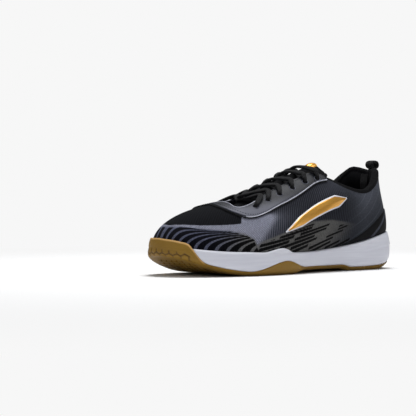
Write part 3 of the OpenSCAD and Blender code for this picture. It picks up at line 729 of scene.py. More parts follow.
def heel_film_material():
    """Near-black bonded film with a blue-grey slanting stripe."""
    g = Graph("heel_film", roughness=0.7, ior=1.48, specular_ior_level=0.1)
    stripe = g.step(g.value("stripe"), -0.4, 0.4)
    worn = g.step(g.noise(420, 4), 0.35, 0.7)
    black = g.mix(g.noise(35, 3), srgb(4, 4, 5), srgb(13, 13, 16))
    g.color(g.mix(g.times(stripe, g.math("MULTIPLY_ADD", worn, 0.4, 0.6)), black, srgb(66, 69, 79)))
    g.bump(g.noise(900, 2), 0.08, 0.5)
    return g.material


def gold_material():
    g = Graph("gold_film", metallic=0.75, roughness=0.34, coat_weight=0.2, coat_roughness=0.2)
    brushed = g.noise(1.0, 3, 0.6, g.stretched((60, 900, 900)))
    g.color(g.mix(brushed, srgb(214, 148, 52), srgb(242, 184, 86)))
    g.roughness(g.mix(g.noise(400, 2), grey(0.26), grey(0.42)))
    g.bump(g.noise(1400, 2), 0.05, 0.4)
    return g.material


def board_material(name, low, high, scale=500):
    """Pressed fibres, for the parts inside."""
    g = Graph(name, roughness=0.85)
    fibres = g.noise(scale, 5, 0.7)
    g.color(g.mix(fibres, low, high))
    g.bump(fibres, 0.2, 0.6)
    return g.material


def insole_material():
    g = Graph("insole_cloth", roughness=0.9, sheen_weight=0.03, sheen_roughness=0.5, specular_ior_level=0.15)
    s, h = g.flat()
    holes = g.times(g.wave(s, 9.0, 6), g.wave(h, 9.0, 6))
    pit = g.times(g.step(holes, 0.5, 0.7), g.value("vented"))
    threads = g.threads(1.6)
    # Painted shade: the vent holes are drawn near black.
    g.color(g.mix(pit, g.mix(threads, srgb(12, 12, 14), srgb(34, 34, 39)), srgb(4, 4, 5)))
    g.bump(g.math("SUBTRACT", g.times(threads, 0.4), pit), 0.4, 0.7)
    return g.material


# ---- Sole --------------------------------------------------------------------------------------

def ring_stations(per_side):
    """Stations right round, heel to toe on the outer side and back, paired across the shoe."""
    half = even_stations(0, TOE, per_side + 1)
    return np.concatenate([half, STATIONS - half[1:-1][::-1]])


def across(ring, steps):
    """The sheet between the two sides of a closed ring that starts at the heel."""
    half = len(ring) // 2
    outer = ring[:half + 1]
    inner = np.concatenate([ring[:1], ring[half:][::-1]])
    return mix(outer[:, None], inner[:, None], np.linspace(0, 1, steps)[None, :, None])


def nearness(steps):
    """The share of the sheet's width from a point to the nearer side."""
    return np.minimum(np.linspace(0, 1, steps), np.linspace(1, 0, steps))[None]


def sole_tread(x, y):
    """0 in a groove of the honeycomb and 1 on a lug, whose middles lie in staggered rows."""
    row = TREAD * math.sqrt(3) / 2
    found = []
    for next_row in (-1, 0, 1, 2):
        j = np.floor(y / row) + next_row
        aside = x - np.mod(j, 2) * TREAD / 2
        for next_cell in (0, 1):
            i = np.floor(aside / TREAD) + next_cell
            found.append(np.hypot(aside - i * TREAD, y - j * row))
    near = np.sort(np.stack(found), axis=0)
    return smooth(((near[1] - near[0]) / 2 - 0.25) / 0.55)


def rolled(us, top, height, depth, inset=0):
    """Rows that round off the top of the sole's side."""
    angle = np.linspace(0, 1, 6)[None, 1:] * np.pi / 2
    z = top[:, None] - height + height * np.sin(angle)
    return side(us[:, None], z, inset - depth * (1 - np.cos(angle)))


def make_outsole():
    """The rubber cup: a side with a band of honeycomb, a rolled rim, the inside and the tread."""
    us = ring_stations(430)
    low, top = ground_z(us), rubber_z(us)
    f = np.linspace(0, 1, 47)[None]
    z = mix(low[:, None], top[:, None] - 0.6, f)
    skirt = side(us[:, None], z, 0)
    normal = grid_normals(np.concatenate([skirt[-1:], skirt, skirt[:1]]))[1:-1]
    # The band runs round the toe, from the outer side's rise to the inner side's.
    climb = np.where(us > TOE, smooth((18.0 - us) / 0.2), smooth((us - 10.75) / 0.25))[:, None]
    band = smooth((top[:, None] - z - 8.5) / 1.2) * smooth((z - low[:, None] - 1.2) / 1.2) * climb
    lug = sole_tread(run(us)[:, None], z + 0.35 * toe_run(us)[:, None] ** 0.5)
    groove = band * (1 - lug)
    ledge = 0.35 * smooth((top[:, None] - z - 7.6) / 0.8) * climb
    skirt = skirt - normal * (SIDE_GROOVE * groove + ledge)[..., None]
    hugs = (rubber_z(us) > lip_z(us) + 1.4)[:, None]

    def hug(height):
        return off(us, rise_v(us, height - feather_z(us)), GAP)

    def tucked(height):
        return side(us, height, -WRAP)

    ring_top = np.where(hugs, hug(top), tucked(top))
    ring_low = np.where(hugs, hug(lip_z(us) + 0.7), tucked(top - 0.1))
    under = np.where(hugs, tucked(lip_z(us) + 0.3), tucked(top - 0.2))
    floor_ring = tucked(low + RUBBER)
    inside = np.stack([ring_top, ring_low, under, mix(under, floor_ring, 0.5), floor_ring], axis=1)
    wall_grid = np.concatenate([skirt, rolled(us, top, 0.6, 0.9), inside], axis=1)
    extra = wall_grid.shape[1] - skirt.shape[1]
    # The rim mask marks the top edge round the toe and the inside, where the material paints a highlight.
    rim = np.pad(smooth((z - top[:, None] + 2.2) / 1.4), ((0, 0), (0, extra)), constant_values=1) * climb
    shape = Shape()
    # The groove mask also tells the material where to paint shade in the grooves.
    shape.grid(wall_grid, close_n=True, rim=rim, groove=np.pad(groove, ((0, 0), (0, extra))))
    bottom = across(skirt[:, 0], 121)
    x, t = bottom[..., 0], MID_T - bottom[..., 1]
    margin = nearness(121) * np.linalg.norm(bottom[:, :1] - bottom[:, -1:], axis=-1)
    ends = np.minimum(t - 8, 286 - t)
    treads = smooth(np.minimum(margin, ends) - 4)
    arch = smooth((t - 86) / 4) * (1 - smooth((t - 146) / 4))
    lug = sole_tread(x, t)
    ribs = smooth((np.abs(np.sin(x * math.pi / 9)) - 0.25) / 0.3)
    cut = treads * mix(1 - lug, 0.8 * (1 - ribs), arch)
    bottom = bottom + UP * (FOOT_GROOVE * cut)[..., None]
    # The tread's cuts carry the same painted shade.
    shape.grid(bottom, groove=cut)
    shape.grid(across(floor_ring, 4))
    return shape.build("outsole_rubber", weld=2e-6)


def make_midsole():
    """The foam cup, with a crease and a swell below the heel's lip."""
    us = ring_stations(300)
    low = ground_z(us) + RUBBER + 0.1
    lip, top = lip_z(us), rubber_z(us)
    step = np.minimum(top + 0.1, lip - 0.6)
    cover_part = smooth((top - lip + 2.6) / 1.2)
    inset = mix(0, -WRAP - 0.1, cover_part)
    u = us[:, None]
    hidden = side(u, mix(low[:, None], step[:, None], np.linspace(0, 1, 8)[None]), -WRAP - 0.1)
    z = mix(step[:, None] + 0.12, lip[:, None] - 0.7, np.linspace(0, 1, 30)[None])
    heel = smooth((4.2 - folded(u)) / 2.6)
    line = mix(lip[:, None] - 9.5, lip[:, None] - 14, smooth((3.5 - folded(u)) / 3.5))
    crease = -0.55 * heel * smooth((line - z) / 0.9) + 0.35 * heel * np.exp(-((z - line - 0.6) / 1.1) ** 2)
    lower_curl = -0.5 * smooth(1 - (z - step[:, None]) / 0.8) * (1 - cover_part[:, None])
    face = side(u, z, inset[:, None] + crease + lower_curl)
    rim = rolled(us, lip, 0.7, 0.8, inset[:, None])
    inner = np.stack([off(us, v, GAP) for v in (lip_v(us), 0 * us, cup_v(us))], axis=1)
    shape = Shape().grid(np.concatenate([hidden, face, rim, inner], axis=1), close_n=True)
    shape.grid(across(hidden[:, 0], 4))
    shape.grid(across(inner[:, -1], 4))
    return shape.build("midsole_cup", weld=2e-6)


def make_insole():
    """The insole, dished a little toward its middle, with vents under the ball of the foot."""
    us = ring_stations(150)
    board_top = 2.1

    def edge(z, inset):
        p = off(us, cup_v(us) + rise_v(us, z + board_top), -inset)
        p[:, 2] = skin(us, cup_v(us))[:, 2] + board_top + z
        return p

    hoops = [edge(z, inset) for z, inset in ((0, 7.4), (1.1, 6.2), (2.8, 6.0), (3.3, 6.1), (3.6, 6.8))]
    top = across(hoops[-1], 61)
    t = MID_T - top[..., 1]
    near_edge = nearness(61)
    dish = smooth(near_edge / 0.3) * smooth((t - 10) / 20)
    top = top - UP * dish[..., None]
    flat = np.stack([top[..., 1], top[..., 0]], axis=-1)
    vented = smooth((t - 150) / 3) * (1 - smooth((t - 235) / 3)) * (near_edge > 0.12)
    shape = Shape().grid(np.stack(hoops, axis=1), close_n=True)
    shape.grid(across(hoops[0], 4))
    shape.grid(top, flat=flat, vented=vented)
    return shape.build("insole_sockliner", weld=2e-6)


# ---- Upper -------------------------------------------------------------------------------------

def hashed(k):
    """A fixed scattered number from 0 to 1 for each whole number."""
    return np.mod(np.sin(k * 12.9898 + 4.1) * 43758.5453, 1.0)


STRIPES_FROM_TOE = [0, 32, 58, 75, 91, 104]


def curved_stripes(s, h):
    """Signed distance into the stripes that sweep from the sole round the toe and back along the side."""
    top = np.interp(s, STRIPES_FROM_TOE, [19.5, 22, 24, 21, 13, 0])
    height, first, spread = 26, 5.6, 0.085
    reach = np.clip(h / height, 0, 0.99)
    size = 1.75 * (9 + 0.6 * s) * smooth((s + 6) / 40)
    start = s - size * (1 - np.sqrt(1 - reach ** 2)) + 2
    pitch = first + spread * np.clip(start, 0, 80)
    widened = np.log1p(np.maximum(start, 0) * spread / first) / spread
    phase = np.where(start > 0, widened, start / first)
    k = np.round(phase)
    slope = size * reach / np.sqrt(1 - reach ** 2) / height
    inside = (0.34 - np.abs(phase - k)) * pitch / np.sqrt(1 + slope ** 2)
    return np.minimum(inside, top + 2 * hashed(k) - 1.5 - h), smooth((top + 2 - h) / 2.5)


def dashes(s, h):
    """Signed distance into the long slanted strokes of the midfoot, which break up toward the heel."""
    upper = np.interp(s, [88, 100, 130, 160, 190, 215, 245, 262], [0, 12, 27, 37, 37, 32, 22, 8])
    pitch = 4.6
    q = (h - 0.27 * (s - 100)) / pitch
    k = np.floor(q)
    late = smooth((s - 135) / 70)
    across_line = (mix(0.38, 0.3, late) - np.abs(q - k - 0.5)) * pitch
    period = 44 + 26 * hashed(k + 3)
    at = np.mod(s + 55 * hashed(k + 7), period)
    stroke = period * mix(0.9, 0.4, late)
    ends = np.minimum(stroke / 2 - np.abs(at - period / 2), s - 93 - 20 * hashed(k))
    inside = np.minimum(np.minimum(across_line, ends), upper - 1.5 - 3 * hashed(k) - h)
    zone = smooth((upper + 1 - h) / 3) * smooth((s - 92) / 7) * (1 - smooth((s - 185) / 60))
    return inside, zone


def knit_pattern(u, v, up):
    """The numbers that the knit's material reads, for every point of the upper's skin."""
    s = toe_run(u)
    feather = np.array([np.interp(0, row_v, row_up) for row_v, row_up in zip(v, up)])[:, None]
    h = up - feather
    border = h - np.interp(s, [0, 29, 62], [21.5, 27, 37])
    front = np.interp(h, [30, 37, 53], [65, 62, 52]) - s
    toe = np.minimum(border, front)
    stripe, stripe_zone = curved_stripes(s, h)
    dash, dash_zone = dashes(s, h)
    stripe_top = np.interp(s, STRIPES_FROM_TOE, [19, 21.5, 24, 20.5, 13, 0])
    pale = np.minimum(h - stripe_top + 1.5, -toe + 0.3)
    pale = np.minimum(pale, 4) * (1 - smooth((s - 70) / 40)) * (1 - smooth((h - 40) / 20))
    tone = 0.16 + 0.8 * np.exp(-((s - 82) / 34) ** 2) * (1 - smooth((h - 40) / 26))
    tone = tone + 0.22 * smooth((s - 130) / 50) * smooth((h - 58) / 24)
    heel = smooth((s - 215 + 0.4 * (h - 30)) / 50)
    tone = mix(tone, 0.12 + 0.4 * smooth((h - 20) / 45), heel)
    faint = np.exp(-((np.mod(h - 0.42 * s, 17) - 8) / 0.6) ** 2) * smooth((s - 200) / 40) * 0.22
    return {"tone": np.clip(tone + faint, 0, 1), "plain": smooth((s - 200 + 0.7 * (h - 40)) / 45), "toe": toe,
            "band": pale, "strong": np.maximum(stripe_zone * (s < 106), dash_zone),
            "stripe": np.maximum(stripe, dash), "warm": smooth((s - 45) / 40)}


def fixed(value):
    return lambda u, v=None: np.full(np.shape(u), float(value))


def make_upper():
    us = even_stations(0, STATIONS, 761)[:-1]
    return layer_piece("knit_skin", us, cup_v, throat_v, fixed(-KNIT), fixed(0), closed=True, rows=110,
                       radius=0.3, values=knit_pattern)


def lace_row(i, s):
    u, v = LACE_ROWS[i]
    return (u, v) if s > 0 else (STATIONS - u, v)


def side_scale(i, s):
    """Millimetres up the side, at a lace hole, for the whole of v."""
    u, v = lace_row(i, s)
    return np.linalg.norm(skin(u, v + 0.02) - skin(u, v)) / 0.02


def reach_v(i, s, reach):
    return lace_row(i, s)[1] + reach / side_scale(i, s)


def from_hole(i, s, reach, depth):
    return off(lace_row(i, s)[0], reach_v(i, s, reach), depth)


def past_edge(i, s, least):
    """Reach of a hole that takes the lace at least a distance on and past the throat's edge."""
    u, v = lace_row(i, s)
    return max(least, (eased(THROAT, u, 0) - v) * side_scale(i, s) + 1)


def hole_normal(i, s, reach=0.0):
    return skin_normal(lace_row(i, s)[0], reach_v(i, s, reach))


def punch(piece, radius):
    """Cuts the twelve lace holes."""
    work = bmesh.new()
    for i, s in SIDES:
        turn = Vector(hole_normal(i, s)).to_track_quat("Z", "Y").to_matrix().to_4x4()
        matrix = Matrix.Translation(Vector(from_hole(i, s, 0, 0)) * MM) @ turn
        bmesh.ops.create_cone(work, cap_ends=True, segments=40, radius1=radius * MM, radius2=radius * MM,
                              depth=9 * MM, matrix=matrix)
    mesh = bpy.data.meshes.new("punch")
    work.to_mesh(mesh)
    work.free()
    cutter = in_scene("punch", mesh)
    cut = piece.modifiers.new("holes", "BOOLEAN")
    cut.object, cut.operation, cut.solver = cutter, "DIFFERENCE", "EXACT"
    done = bpy.data.meshes.new_from_object(piece.evaluated_get(bpy.context.evaluated_depsgraph_get()))
    piece.modifiers.clear()
    piece.data = done
    bpy.data.objects.remove(cutter)
    bpy.data.meshes.remove(mesh)


def make_eyestay():
    us = even_stations(6.25, 19.75, 460)
    # The mask rises toward the throat's edge, where the film gets painted shade.
    piece = layer_piece("eyestay_panel", us, eyestay_v, throat_v, fixed(0.3), fixed(1.3), rows=34,
                        radius=0.7, values=lambda u, v, up: {"shade": smooth((v - 0.6) / 0.22)})
    punch(piece, HOLE_R)
    piece.data.set_sharp_from_angle(angle=math.radians(40))
    rims = []
    cos, sin = (way[:, None] for way in circle(36))
    for i, s in SIDES:
        normal = hole_normal(i, s)
        first = unit(np.cross(normal, [0, 1.0, 0]))
        outward = first * cos + np.cross(normal, first) * sin
        ring = from_hole(i, s, 0, 1.28) + (HOLE_R + 0.35) * outward
        loops = rings(ring, 0.38 * outward, np.broadcast_to(0.38 * normal, ring.shape), circle(8))
        rims.append(Shape().grid(loops, close_n=True, close_m=True).build(f"rim{i}{s}"))
    return piece, join("eyelet_rims", rims)


def line_on_last(us, vs, depth):
    return off(us, vs, depth), skin_normal(us, vs)


def make_piping():
    """A dark cord under the eyestay's edge, and pale ones along it and along the throat's front."""
    def cord(name, first, last, count, edge, raised, depth, radius):
        us = even_stations(first, last, count)
        return tube(name, line_on_last(us, edge(us) + raised, depth)[0], radius)

    dark = cord("piping_dark", 6.25, 19.75, 420, eyestay_v, -0.022, 0.85, 0.62)
    tubes = [cord("pale_outer", 6.25, 10.3, 150, eyestay_v, -0.007, 1.15, 0.55),
             cord("pale_inner", 15.7, 19.75, 150, eyestay_v, -0.007, 1.15, 0.55),
             cord("pale_throat", 10.45, 15.55, 200, throat_v, -0.004, 1.2, 0.4)]
    return dark, join("piping_pale", tubes)


def make_eyestay_seams():
    us = even_stations(6.6, 19.4, 500)
    rows = [stitches("seam_low", *line_on_last(us, eyestay_v(us) + 0.03, 1.34))]
    for first, last in ((6.6, 10.1), (15.9, 19.4)):
        us = even_stations(first, last, 200)
        line = line_on_last(us, throat_v(us) - 0.03, 1.34)
        rows.append(stitches(f"throat{first}", *line, pitch=2.4, length=1.7))
    return join("eyestay_stitching", rows)


def film_top(u):
    return 0.4 - 0.35 * smooth((np.abs(heel_u(u)) - 1.8) / 2.3)


def make_heel_film():
    """The heel's film, with a slanting stripe pressed into it."""
    def stripe(u, up):
        return 1.7 - np.abs(up - 0.62 * (toe_run(u) - 272)) * 0.85

    return layer_piece("heel_overlay", even_stations(-4, 4, 260), lambda u: lip_v(u) + 0.02, film_top,
                       fixed(0.3), fixed(0.8), rows=40,
                       relief=lambda u, v, up: -0.2 * smooth(0.5 + stripe(u, up)),
                       values=lambda u, v, up: {"stripe": stripe(u, up)})


def make_emblem(name, grow, low, high, bevel):
    """A tapered bar on the outer side, from low to high above the skin; grow is its share over the size."""
    start, end, half = np.array([7.75, 0.3]), np.array([5.15, 0.79]), np.array([0.2, 0.046])
    s = np.linspace(0, 1, 121)
    width = mix(0.12, 1, np.minimum(1, np.minimum(s, 1 - s) / 0.2)) * (1 + grow)
    centre = mix(start, end, mix(-grow / 10, 1 + grow / 10, s)[:, None])
    r = np.linspace(-1, 1, 25)
    uv = centre[:, None] + half * (r[None] * width[:, None])[..., None]
    flank = np.minimum((1 - np.abs(r))[None], np.minimum(s, 1 - s)[:, None] / 0.12)
    rise = high - bevel + bevel * flank
    rim = rounded(1 - np.abs(r), 0.08)[None]
    top = off(uv[..., 0], uv[..., 1], low + (rise - low) * mix(0.3, 1, rim))
    back = off(uv[..., 0], uv[..., 1], low)[:, ::-1]
    return capped(name, np.concatenate([top, back], axis=1), sharp=28)


# ---- Inside the upper --------------------------------------------------------------------------

def lining_low(u):
    return cup_v(u) + rise_v(u, 1.7)


def make_lining(name, first, last, top, rows):
    return layer_piece(name, even_stations(first, last, 260), lining_low, top,
                       lambda u, v: -lining_depth(u, v) - LINING, lambda u, v: -lining_depth(u, v),
                       rows=rows, radius=0.4)


def vamp_lining_top(u):
    return np.minimum(0.65 + 0.18 * smooth((folded(u) - 11.4) / 1.2), throat_v(u) - 0.08)


def make_binding():
    """The collar's rolled edge: a half round over the layers, with legs that hang over both faces."""
    us = even_stations(-6.1, 6.1, 300)
    e, n = skin(us, 1), skin_normal(us, 1)
    up = unit(e - skin(us, 0.98))
    depth = (lining_depth(us, np.ones_like(us)) + LINING)[:, None, None]
    half = depth / 2 + 0.2
    angle = np.linspace(0, 180, 22)[None, ::-1, None] * np.pi / 180
    e, n, up = e[:, None], n[:, None], up[:, None]
    pucker = 1 + 0.02 * np.sin(np.arange(len(us)) * 0.9)[:, None, None]
    loops = (e - n * depth / 2 + n * half * np.cos(angle)
             + up * (0.3 + np.minimum(2.6, half) * np.sin(angle) * pucker))
    under = mix(loops[:, -1:], loops[:, :1], np.linspace(0, 1, 6)[None, :, None]) - up * 2.4
    return capped("collar_edge", np.concatenate([loops, under], axis=1), sharp=60)


# ---- Tongue and lace ---------------------------------------------------------------------------

def tongue_row(a):
    n = len(TONGUE) - 1
    w = np.clip(np.asarray(a, float) * n, 0, n - 0.001)
    i = np.floor(w).astype(int)
    rows = [TONGUE[np.clip(i + k, 0, n)] for k in (-1, 0, 1, 2)]
    return spline(*rows, (w - i)[..., None])


def tongue_point(a, b, top):
    a, b, top = np.broadcast_arrays(np.asarray(a, float), b, top)
    r = tongue_row(a)
    x = b * r[..., 2]
    height = r[..., 1] - r[..., 4] * x ** 2 + top * (2.4 + 7.5 * r[..., 3] * np.exp(-(x / 9.5) ** 2))
    return place(np.stack([r[..., 0], x - 1, height], axis=-1))


def tongue_normal(a, b):
    return unit(np.cross(tongue_point(a, b + 0.01, 1.0) - tongue_point(a, b - 0.01, 1.0),
                         tongue_point(a + 0.01, b, 1.0) - tongue_point(a - 0.01, b, 1.0)))


def tongue_off(a, b, depth):
    return tongue_point(a, b, 1.0) + tongue_normal(a, b) * np.asarray(depth, float)[..., None]


def make_tongue():
    a = np.linspace(0, 1, 190)[:, None]
    b = mix(np.linspace(-1, 1, 81), np.sin(np.linspace(-1, 1, 81) * np.pi / 2), 0.5)[None]
    top, under = tongue_point(a, b, 1.0), tongue_point(a, b, 0.0)
    x = b * tongue_row(a)[..., 2]
    rim = np.minimum(rounded(tongue_row(a)[..., 2] - np.abs(x), 1.5), rounded((1 - a) * TONGUE_RUN, 2.2))
    middle = (top + under) / 2
    edge_seam = np.exp(-((tongue_row(a)[..., 2] - np.abs(x) - 3.6) / 0.55) ** 2)
    quilt = np.exp(-((np.mod(a * TONGUE_RUN + 0.25 * np.abs(x), 11) - 5.5) / 0.6) ** 2) * (np.abs(x) < 11)
    quilt = 0.55 * quilt * smooth((a - 0.1) / 0.1) * (1 - smooth((a - 0.7) / 0.04))
    cut = 0.55 * np.maximum(edge_seam, quilt)
    top = mix(middle, top, rim[..., None]) - tongue_normal(a, b) * cut[..., None]
    under = mix(middle, under, rim[..., None])
    return capped("tongue_pad", np.concatenate([top, under[:, ::-1]], axis=1))


def make_label():
    """A plain plate with cut corners and a grooved border."""
    s = np.linspace(0, 1, 60)
    width = 0.3 * np.minimum(1, np.minimum(0.35 + 2.4 * s, 0.35 + 2.4 * (1 - s)))
    r = np.linspace(-1, 1, 31)
    a = mix(0.775, 0.91, s)[:, None]
    b = r[None] * width[:, None]
    a = np.broadcast_to(a, b.shape)
    border = np.minimum((1 - np.abs(r))[None] * width[:, None] * 17, np.minimum(s, 1 - s)[:, None] * 17)
    groove = np.exp(-((border - 1.6) / 0.3) ** 2)
    height = 0.95 + 0.65 * rounded(border, 0.6) - 0.3 * groove + 0.25 * smooth((border - 2.4) / 0.6)
    top = tongue_off(a, b, height)
    back = tongue_off(a, b, np.full(b.shape, 0.75))[:, ::-1]
    return capped("tongue_badge", np.concatenate([top, back], axis=1), sharp=35)


def tongue_at(t):
    """How far along the tongue a distance from the heel lies."""
    a = np.linspace(0, 1, 2001)
    return float(np.interp(-t, -tongue_row(a)[:, 0], a))


def dive(i, s, flip):
    """The lace through one hole from above: points, the way its flat face looks, and its width."""
    n = hole_normal(i, s)
    w = unit(from_hole(i, s, 1, 0) - from_hole(i, s, 0, 0))
    return [
        (from_hole(i, s, past_edge(i, s, 10.4), 3.6), flip * hole_normal(i, s, 10), 1),
        (from_hole(i, s, 4.8, 3.5), flip * hole_normal(i, s, 5), 0.86),
        (from_hole(i, s, 0.9, 2.7), flip * unit(n - w), 0.64),
        (from_hole(i, s, -0.2, 0.3), -flip * w, 0.5),
        (from_hole(i, s, 1, -2.8), -flip * unit(n + w), 0.52),
        (from_hole(i, s, 4, -3.4), -flip * hole_normal(i, s, 4), 0.74),
        (from_hole(i, s, past_edge(i, s, 10), -3.2), -flip * hole_normal(i, s, 9), 0.9)]


def crossing(i, level):
    p = (from_hole(i, 1, 0, 0) + from_hole(min(5, i + 1), -1, 0, 0)) / 2
    depth = (2.5 if i == 0 else 2.2) + level * 3.2
    return tongue_off(tongue_at(MID_T - p[1]), 0.05, depth)


def lace_half(s):
    points = []
    for i in range(6):
        here, flip = (s, 1) if i % 2 == 0 else (-s, -1)
        path = dive(i, here, flip)
        if i < 5:
            points += path + [(crossing(i, 0 if here > 0 else 1), np.array([0, 0, -flip]), 1)]
        else:
            tail = [(u if here > 0 else STATIONS - u, v) for u, v in TAIL]
            points += path[:5] + [(off(u, v, -3.7), -flip * skin_normal(u, v), 0.55) for u, v in tail]
    return points


def ribbon(name, path, ups, width, thick, full=1.0, sides=18, boxy=0.72):
    """A flat strap with rounded edges, its flat face toward ups; full is its share of the width."""
    direction = unit(np.gradient(path, axis=0))
    ups = unit(ups - direction * np.sum(ups * direction, axis=1, keepdims=True))
    ways = [np.sign(way) * np.abs(way) ** boxy for way in circle(sides, 0.5)]
    full = np.broadcast_to(full, len(path))[:, None]
    sideways = np.cross(direction, ups) * width / 2 * full
    loops = rings(path, sideways, ups * thick / 2 * mix(1.25, 1, full), ways)
    over = ways[0] * width / 2 + 10
    flat = np.stack(np.broadcast_arrays(distances(path, 0)[:, None], over[None]), axis=-1)
    return capped(name, loops, flat=flat)


def make_lace():
    """The whole lace, from one tucked end over the bottom bar to the other, and its length."""
    low_bar = (from_hole(0, 1, 9, 3) + from_hole(0, -1, 9, 3)) / 2 + 1.4 * UP
    route = lace_half(-1)[::-1] + [(low_bar, UP, 1)] + lace_half(1)
    fine = resample(np.array([np.concatenate([p, up, [w]]) for p, up, w in route]), 0.9)
    path, ups, full = fine[:, :3], fine[:, 3:6], fine[:, 6]
    length = distances(path, 0)
    swell = 1 + 0.03 * np.sin(length * 0.55) + 0.02 * np.sin(length * 1.7 + 1)
    return ribbon("shoelace", path, ups, LACE_W, LACE_T, full * swell), length[-1]


# ---- Webbing at the heel -----------------------------------------------------------------------

def make_pull_loop():
    """A closed bend of strap; the path's points are [distance from the heel, height]."""
    path = [(7.4, 103.6), (4.4, 103.9), (2.6, 105.4), (2.2, 107.7), (3.4, 109.9), (6, 110.8), (9, 110.8),
            (11.6, 109.7), (12.7, 107.6), (12.1, 105.7), (10.4, 104.3), (7.8, 103.6)]
    path = resample(np.array([[-MID_X, MID_T - t, z] for t, z in path]), 0.4975)
    ups = np.cross(unit(np.gradient(path, axis=0)), [1.0, 0, 0])
    return ribbon("pull_loop_strap", path, ups, LOOP_W, LOOP_T, sides=24, boxy=0.45)


def make_loop_tab():
    """The strap's sewn legs: one up the outside to the loop and one down the lining."""
    def leg(name, path, ups):
        path[:, 0] = -MID_X
        return ribbon(name, path, ups, LOOP_W, TAB_T, sides=24, boxy=0.4)

    back = np.zeros(40)
    v = np.linspace(0.8, 1.0, 40)
    seam, normal = skin(back, v), skin_normal(back, v)
    base = np.concatenate([seam, seam[-1:] + np.linspace(0.2, 4.0, 8)[:, None] * UP])
    normal = np.concatenate([normal, np.repeat(normal[-1:], 8, axis=0)])
    outer = leg("root_out", base + normal * (TAB_OUT + TAB_T / 2), normal)
    v = np.linspace(0.78, 0.98, 40)
    inner = leg("root_in", off(back, v, -(lining_depth(back, v) + LINING + TAB_IN + TAB_T / 2)),
                -skin_normal(back, v))
    return join("pull_loop_root", [outer, inner])


# ---- Put together ------------------------------------------------------------------------------

def add(piece, body, slot, look, *nodes):
    """The piece in its material, riding on the body and shown in place of the CAD nodes."""
    piece.data.materials.clear()
    piece.data.materials.append(look)
    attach(piece, body)
    if nodes:
        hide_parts(*nodes)
    return piece


def dress_hidden_parts():
    """The CAD solids that stay as they are, closed inside the shoe, in their own materials."""
    looks = {
        "shank": film_material("shank_plate", srgb(16, 16, 18), srgb(34, 34, 38), 0.4),
        "strobel_board": board_material("board", srgb(26, 26, 27), srgb(46, 45, 44)),
        "toe_puff": board_material("stiffener", srgb(70, 70, 70), srgb(104, 102, 98)),
        "collar_foam": board_material("open_foam", srgb(40, 40, 42), srgb(72, 72, 76), 900),
        "aglets": film_material("aglet", srgb(12, 12, 13), srgb(26, 26, 28), 0.25, 0.02, 0.5)}
    looks["heel_counter"] = looks["toe_puff"]
    for node, material in looks.items():
        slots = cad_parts[node].data.materials
        slots.clear()
        slots.append(material)


def build_shoe():
    """Every visible piece, in the place of its CAD node."""
    add(make_outsole(), "shoe", "gum_rubber", rubber_material(), "outsole")
    add(make_midsole(), "shoe", "midsole_foam", midsole_material(), "midsole")
    upper = make_upper()
    punch(upper, HOLE_R + 0.1)
    add(upper, "shoe", "knit", knit_material(), "knit_upper")

    # The last colour is painted shade for the eyestay's upper part.
    film = film_material("eyestay_film", srgb(76, 77, 88), srgb(90, 92, 104), 0.5, 0.07, 0.04,
                         srgb(27, 29, 35))
    eyestay, rims = make_eyestay()
    add(eyestay, "shoe", "eyestay_film", film, "eyestay")
    add(rims, "shoe", "eyestay_film", film)
    black_thread = webbing_material("thread", srgb(3, 3, 4), srgb(16, 16, 19), 0.7)
    dark, pale = make_piping()
    add(dark, "shoe", "piping", black_thread, "eyestay_piping")
    pale_cord = webbing_material("pale_cord", srgb(170, 172, 188), srgb(236, 238, 248), 0.8)
    add(pale, "shoe", "piping", pale_cord, "eyestay_piping")
    add(make_eyestay_seams(), "shoe", "piping", black_thread)

    add(make_heel_film(), "shoe", "heel_film", heel_film_material(), "heel_film")
    look = film_material("emblem_border", srgb(206, 208, 218), srgb(232, 233, 240), 0.4, 0.04)
    add(make_emblem("emblem_edge", 0.3, 0.3, 1.1, 0.25), "shoe", "emblem_border", look, "side_emblem_border")
    gold = gold_material()
    add(make_emblem("emblem_bar", 0, 1.1, 2.4, 1.0), "shoe", "gold_film", gold, "side_emblem")

    lining = mesh_lining_material()
    rear = make_lining("quarter_lining_mesh", -6.3, 6.3, fixed(0.985), 70)
    add(rear, "shoe", "lining", lining, "quarter_lining")
    front = make_lining("vamp_lining_mesh", 6.4, 19.6, vamp_lining_top, 40)
    add(front, "shoe", "lining", lining, "vamp_lining")
    edge_look = fabric_material("collar_knit", srgb(4, 4, 5), srgb(22, 22, 26), 1.2)
    binding = add(make_binding(), "shoe", "lining", edge_look, "collar_binding")
    add(make_insole(), "insole", "insole_foam", insole_material(), "insole")

    tongue_look = fabric_material("tongue_cloth", srgb(4, 4, 5), srgb(24, 24, 28), 1.5, 0.4)
    tongue = add(make_tongue(), "tongue", "tongue_fabric", tongue_look, "tongue")
    add(make_label(), "tongue", "gold_film", gold, "tongue_label")

    tape = webbing_material()
    lace, lace_length = make_lace()
    add(lace, "shoe", "lace_webbing", tape, "lace")
    add(make_pull_loop(), "pull_loop", "webbing", tape, "pull_loop")
    add(make_loop_tab(), "shoe", "webbing", tape, "pull_loop_tab")
    print("lace length in mm:", round(float(lace_length)))


# ---- Studio ------------------------------------------------------------------------------------

PALE = srgb(247, 247, 247)
FLOOR_TONE = (0.80, 0.80, 0.80, 1)


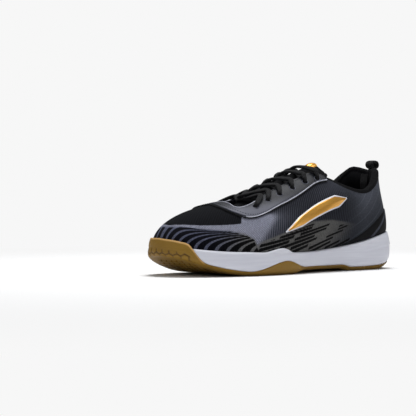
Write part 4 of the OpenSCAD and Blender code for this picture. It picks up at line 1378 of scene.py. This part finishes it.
def make_floor():
    """A pale floor that catches the shadow near the shoe and fades to the backdrop's tone around it."""
    bpy.ops.mesh.primitive_plane_add(size=40, location=(0, 0, 0))
    floor = bpy.context.object
    floor.name = "studio_floor"
    g = Graph("studio_floor", roughness=1.0, specular_ior_level=0.0)
    g.color(FLOOR_TONE)
    glow = g.add("Emission", PALE, 1.0)
    reach = g.add("VectorMath", g.place(), operation="LENGTH").outputs["Value"]
    fade = g.step(reach, 0.24, 0.8)
    blend = g.add("MixShader", fade, g.shader.outputs[0], glow.outputs[0])
    g.tree.links.new(blend.outputs[0], g.tree.nodes["Material Output"].inputs[0])
    floor.data.materials.append(g.material)


def make_backdrop():
    """White for the camera, and a faint cool light for everything else."""
    world = bpy.data.worlds.new("studio")
    bpy.context.scene.world = world
    world.use_nodes = True
    tree = world.node_tree
    light = tree.nodes["Background"]
    light.inputs["Color"].default_value = (0.93, 0.96, 1.0, 1)
    light.inputs["Strength"].default_value = 0.22
    seen = tree.nodes.new("ShaderNodeBackground")
    seen.inputs["Color"].default_value = PALE
    path = tree.nodes.new("ShaderNodeLightPath")
    blend = tree.nodes.new("ShaderNodeMixShader")
    tree.links.new(path.outputs["Is Camera Ray"], blend.inputs[0])
    tree.links.new(light.outputs[0], blend.inputs[1])
    tree.links.new(seen.outputs[0], blend.inputs[2])
    tree.links.new(blend.outputs[0], tree.nodes["World Output"].inputs[0])


def softbox(name, place_at, size, power, tint=(1, 1, 1)):
    data = bpy.data.lights.new(name, "AREA")
    data.shape, data.size, data.energy, data.color = "SQUARE", size, power, tint
    lamp = in_scene(name, data)
    lamp.location = place_at
    lamp.rotation_euler = (Vector((0, 0, 0.05)) - Vector(place_at)).to_track_quat("-Z", "Y").to_euler()


def make_camera():
    """Low beside the toe on the outer side, aimed a little past the shoe to set it right of centre."""
    azimuth, elevation, away = 46.0, 1.0, 1.5
    aim_left, aim_up = 2.56, 0.49
    target = Vector((-0.0023, -0.0006, 0.050))
    a, e = math.radians(azimuth), math.radians(elevation)
    back = Vector((math.sin(a) * math.cos(e), -math.cos(a) * math.cos(e), math.sin(e)))
    data = bpy.data.cameras.new("camera")
    data.sensor_width, data.lens = 36.0, 131.3654
    camera = in_scene("camera", data)
    camera.location = target + back * away
    camera.rotation_euler = (math.radians(90 - elevation + aim_up), 0, math.radians(azimuth + aim_left))
    bpy.context.scene.camera = camera


def make_studio():
    bpy.context.scene.view_settings.view_transform = "Standard"
    make_backdrop()
    make_floor()
    softbox("overhead", (-0.1, 0.15, 1.35), 0.7, 21.5)
    softbox("front_left", (-0.3, -1.5, 0.9), 0.8, 4, (1, 0.98, 0.95))
    softbox("camera_side", (1.5, -0.5, 0.9), 0.9, 5, (0.97, 0.98, 1))


build_shoe()
dress_hidden_parts()
make_camera()
make_studio()
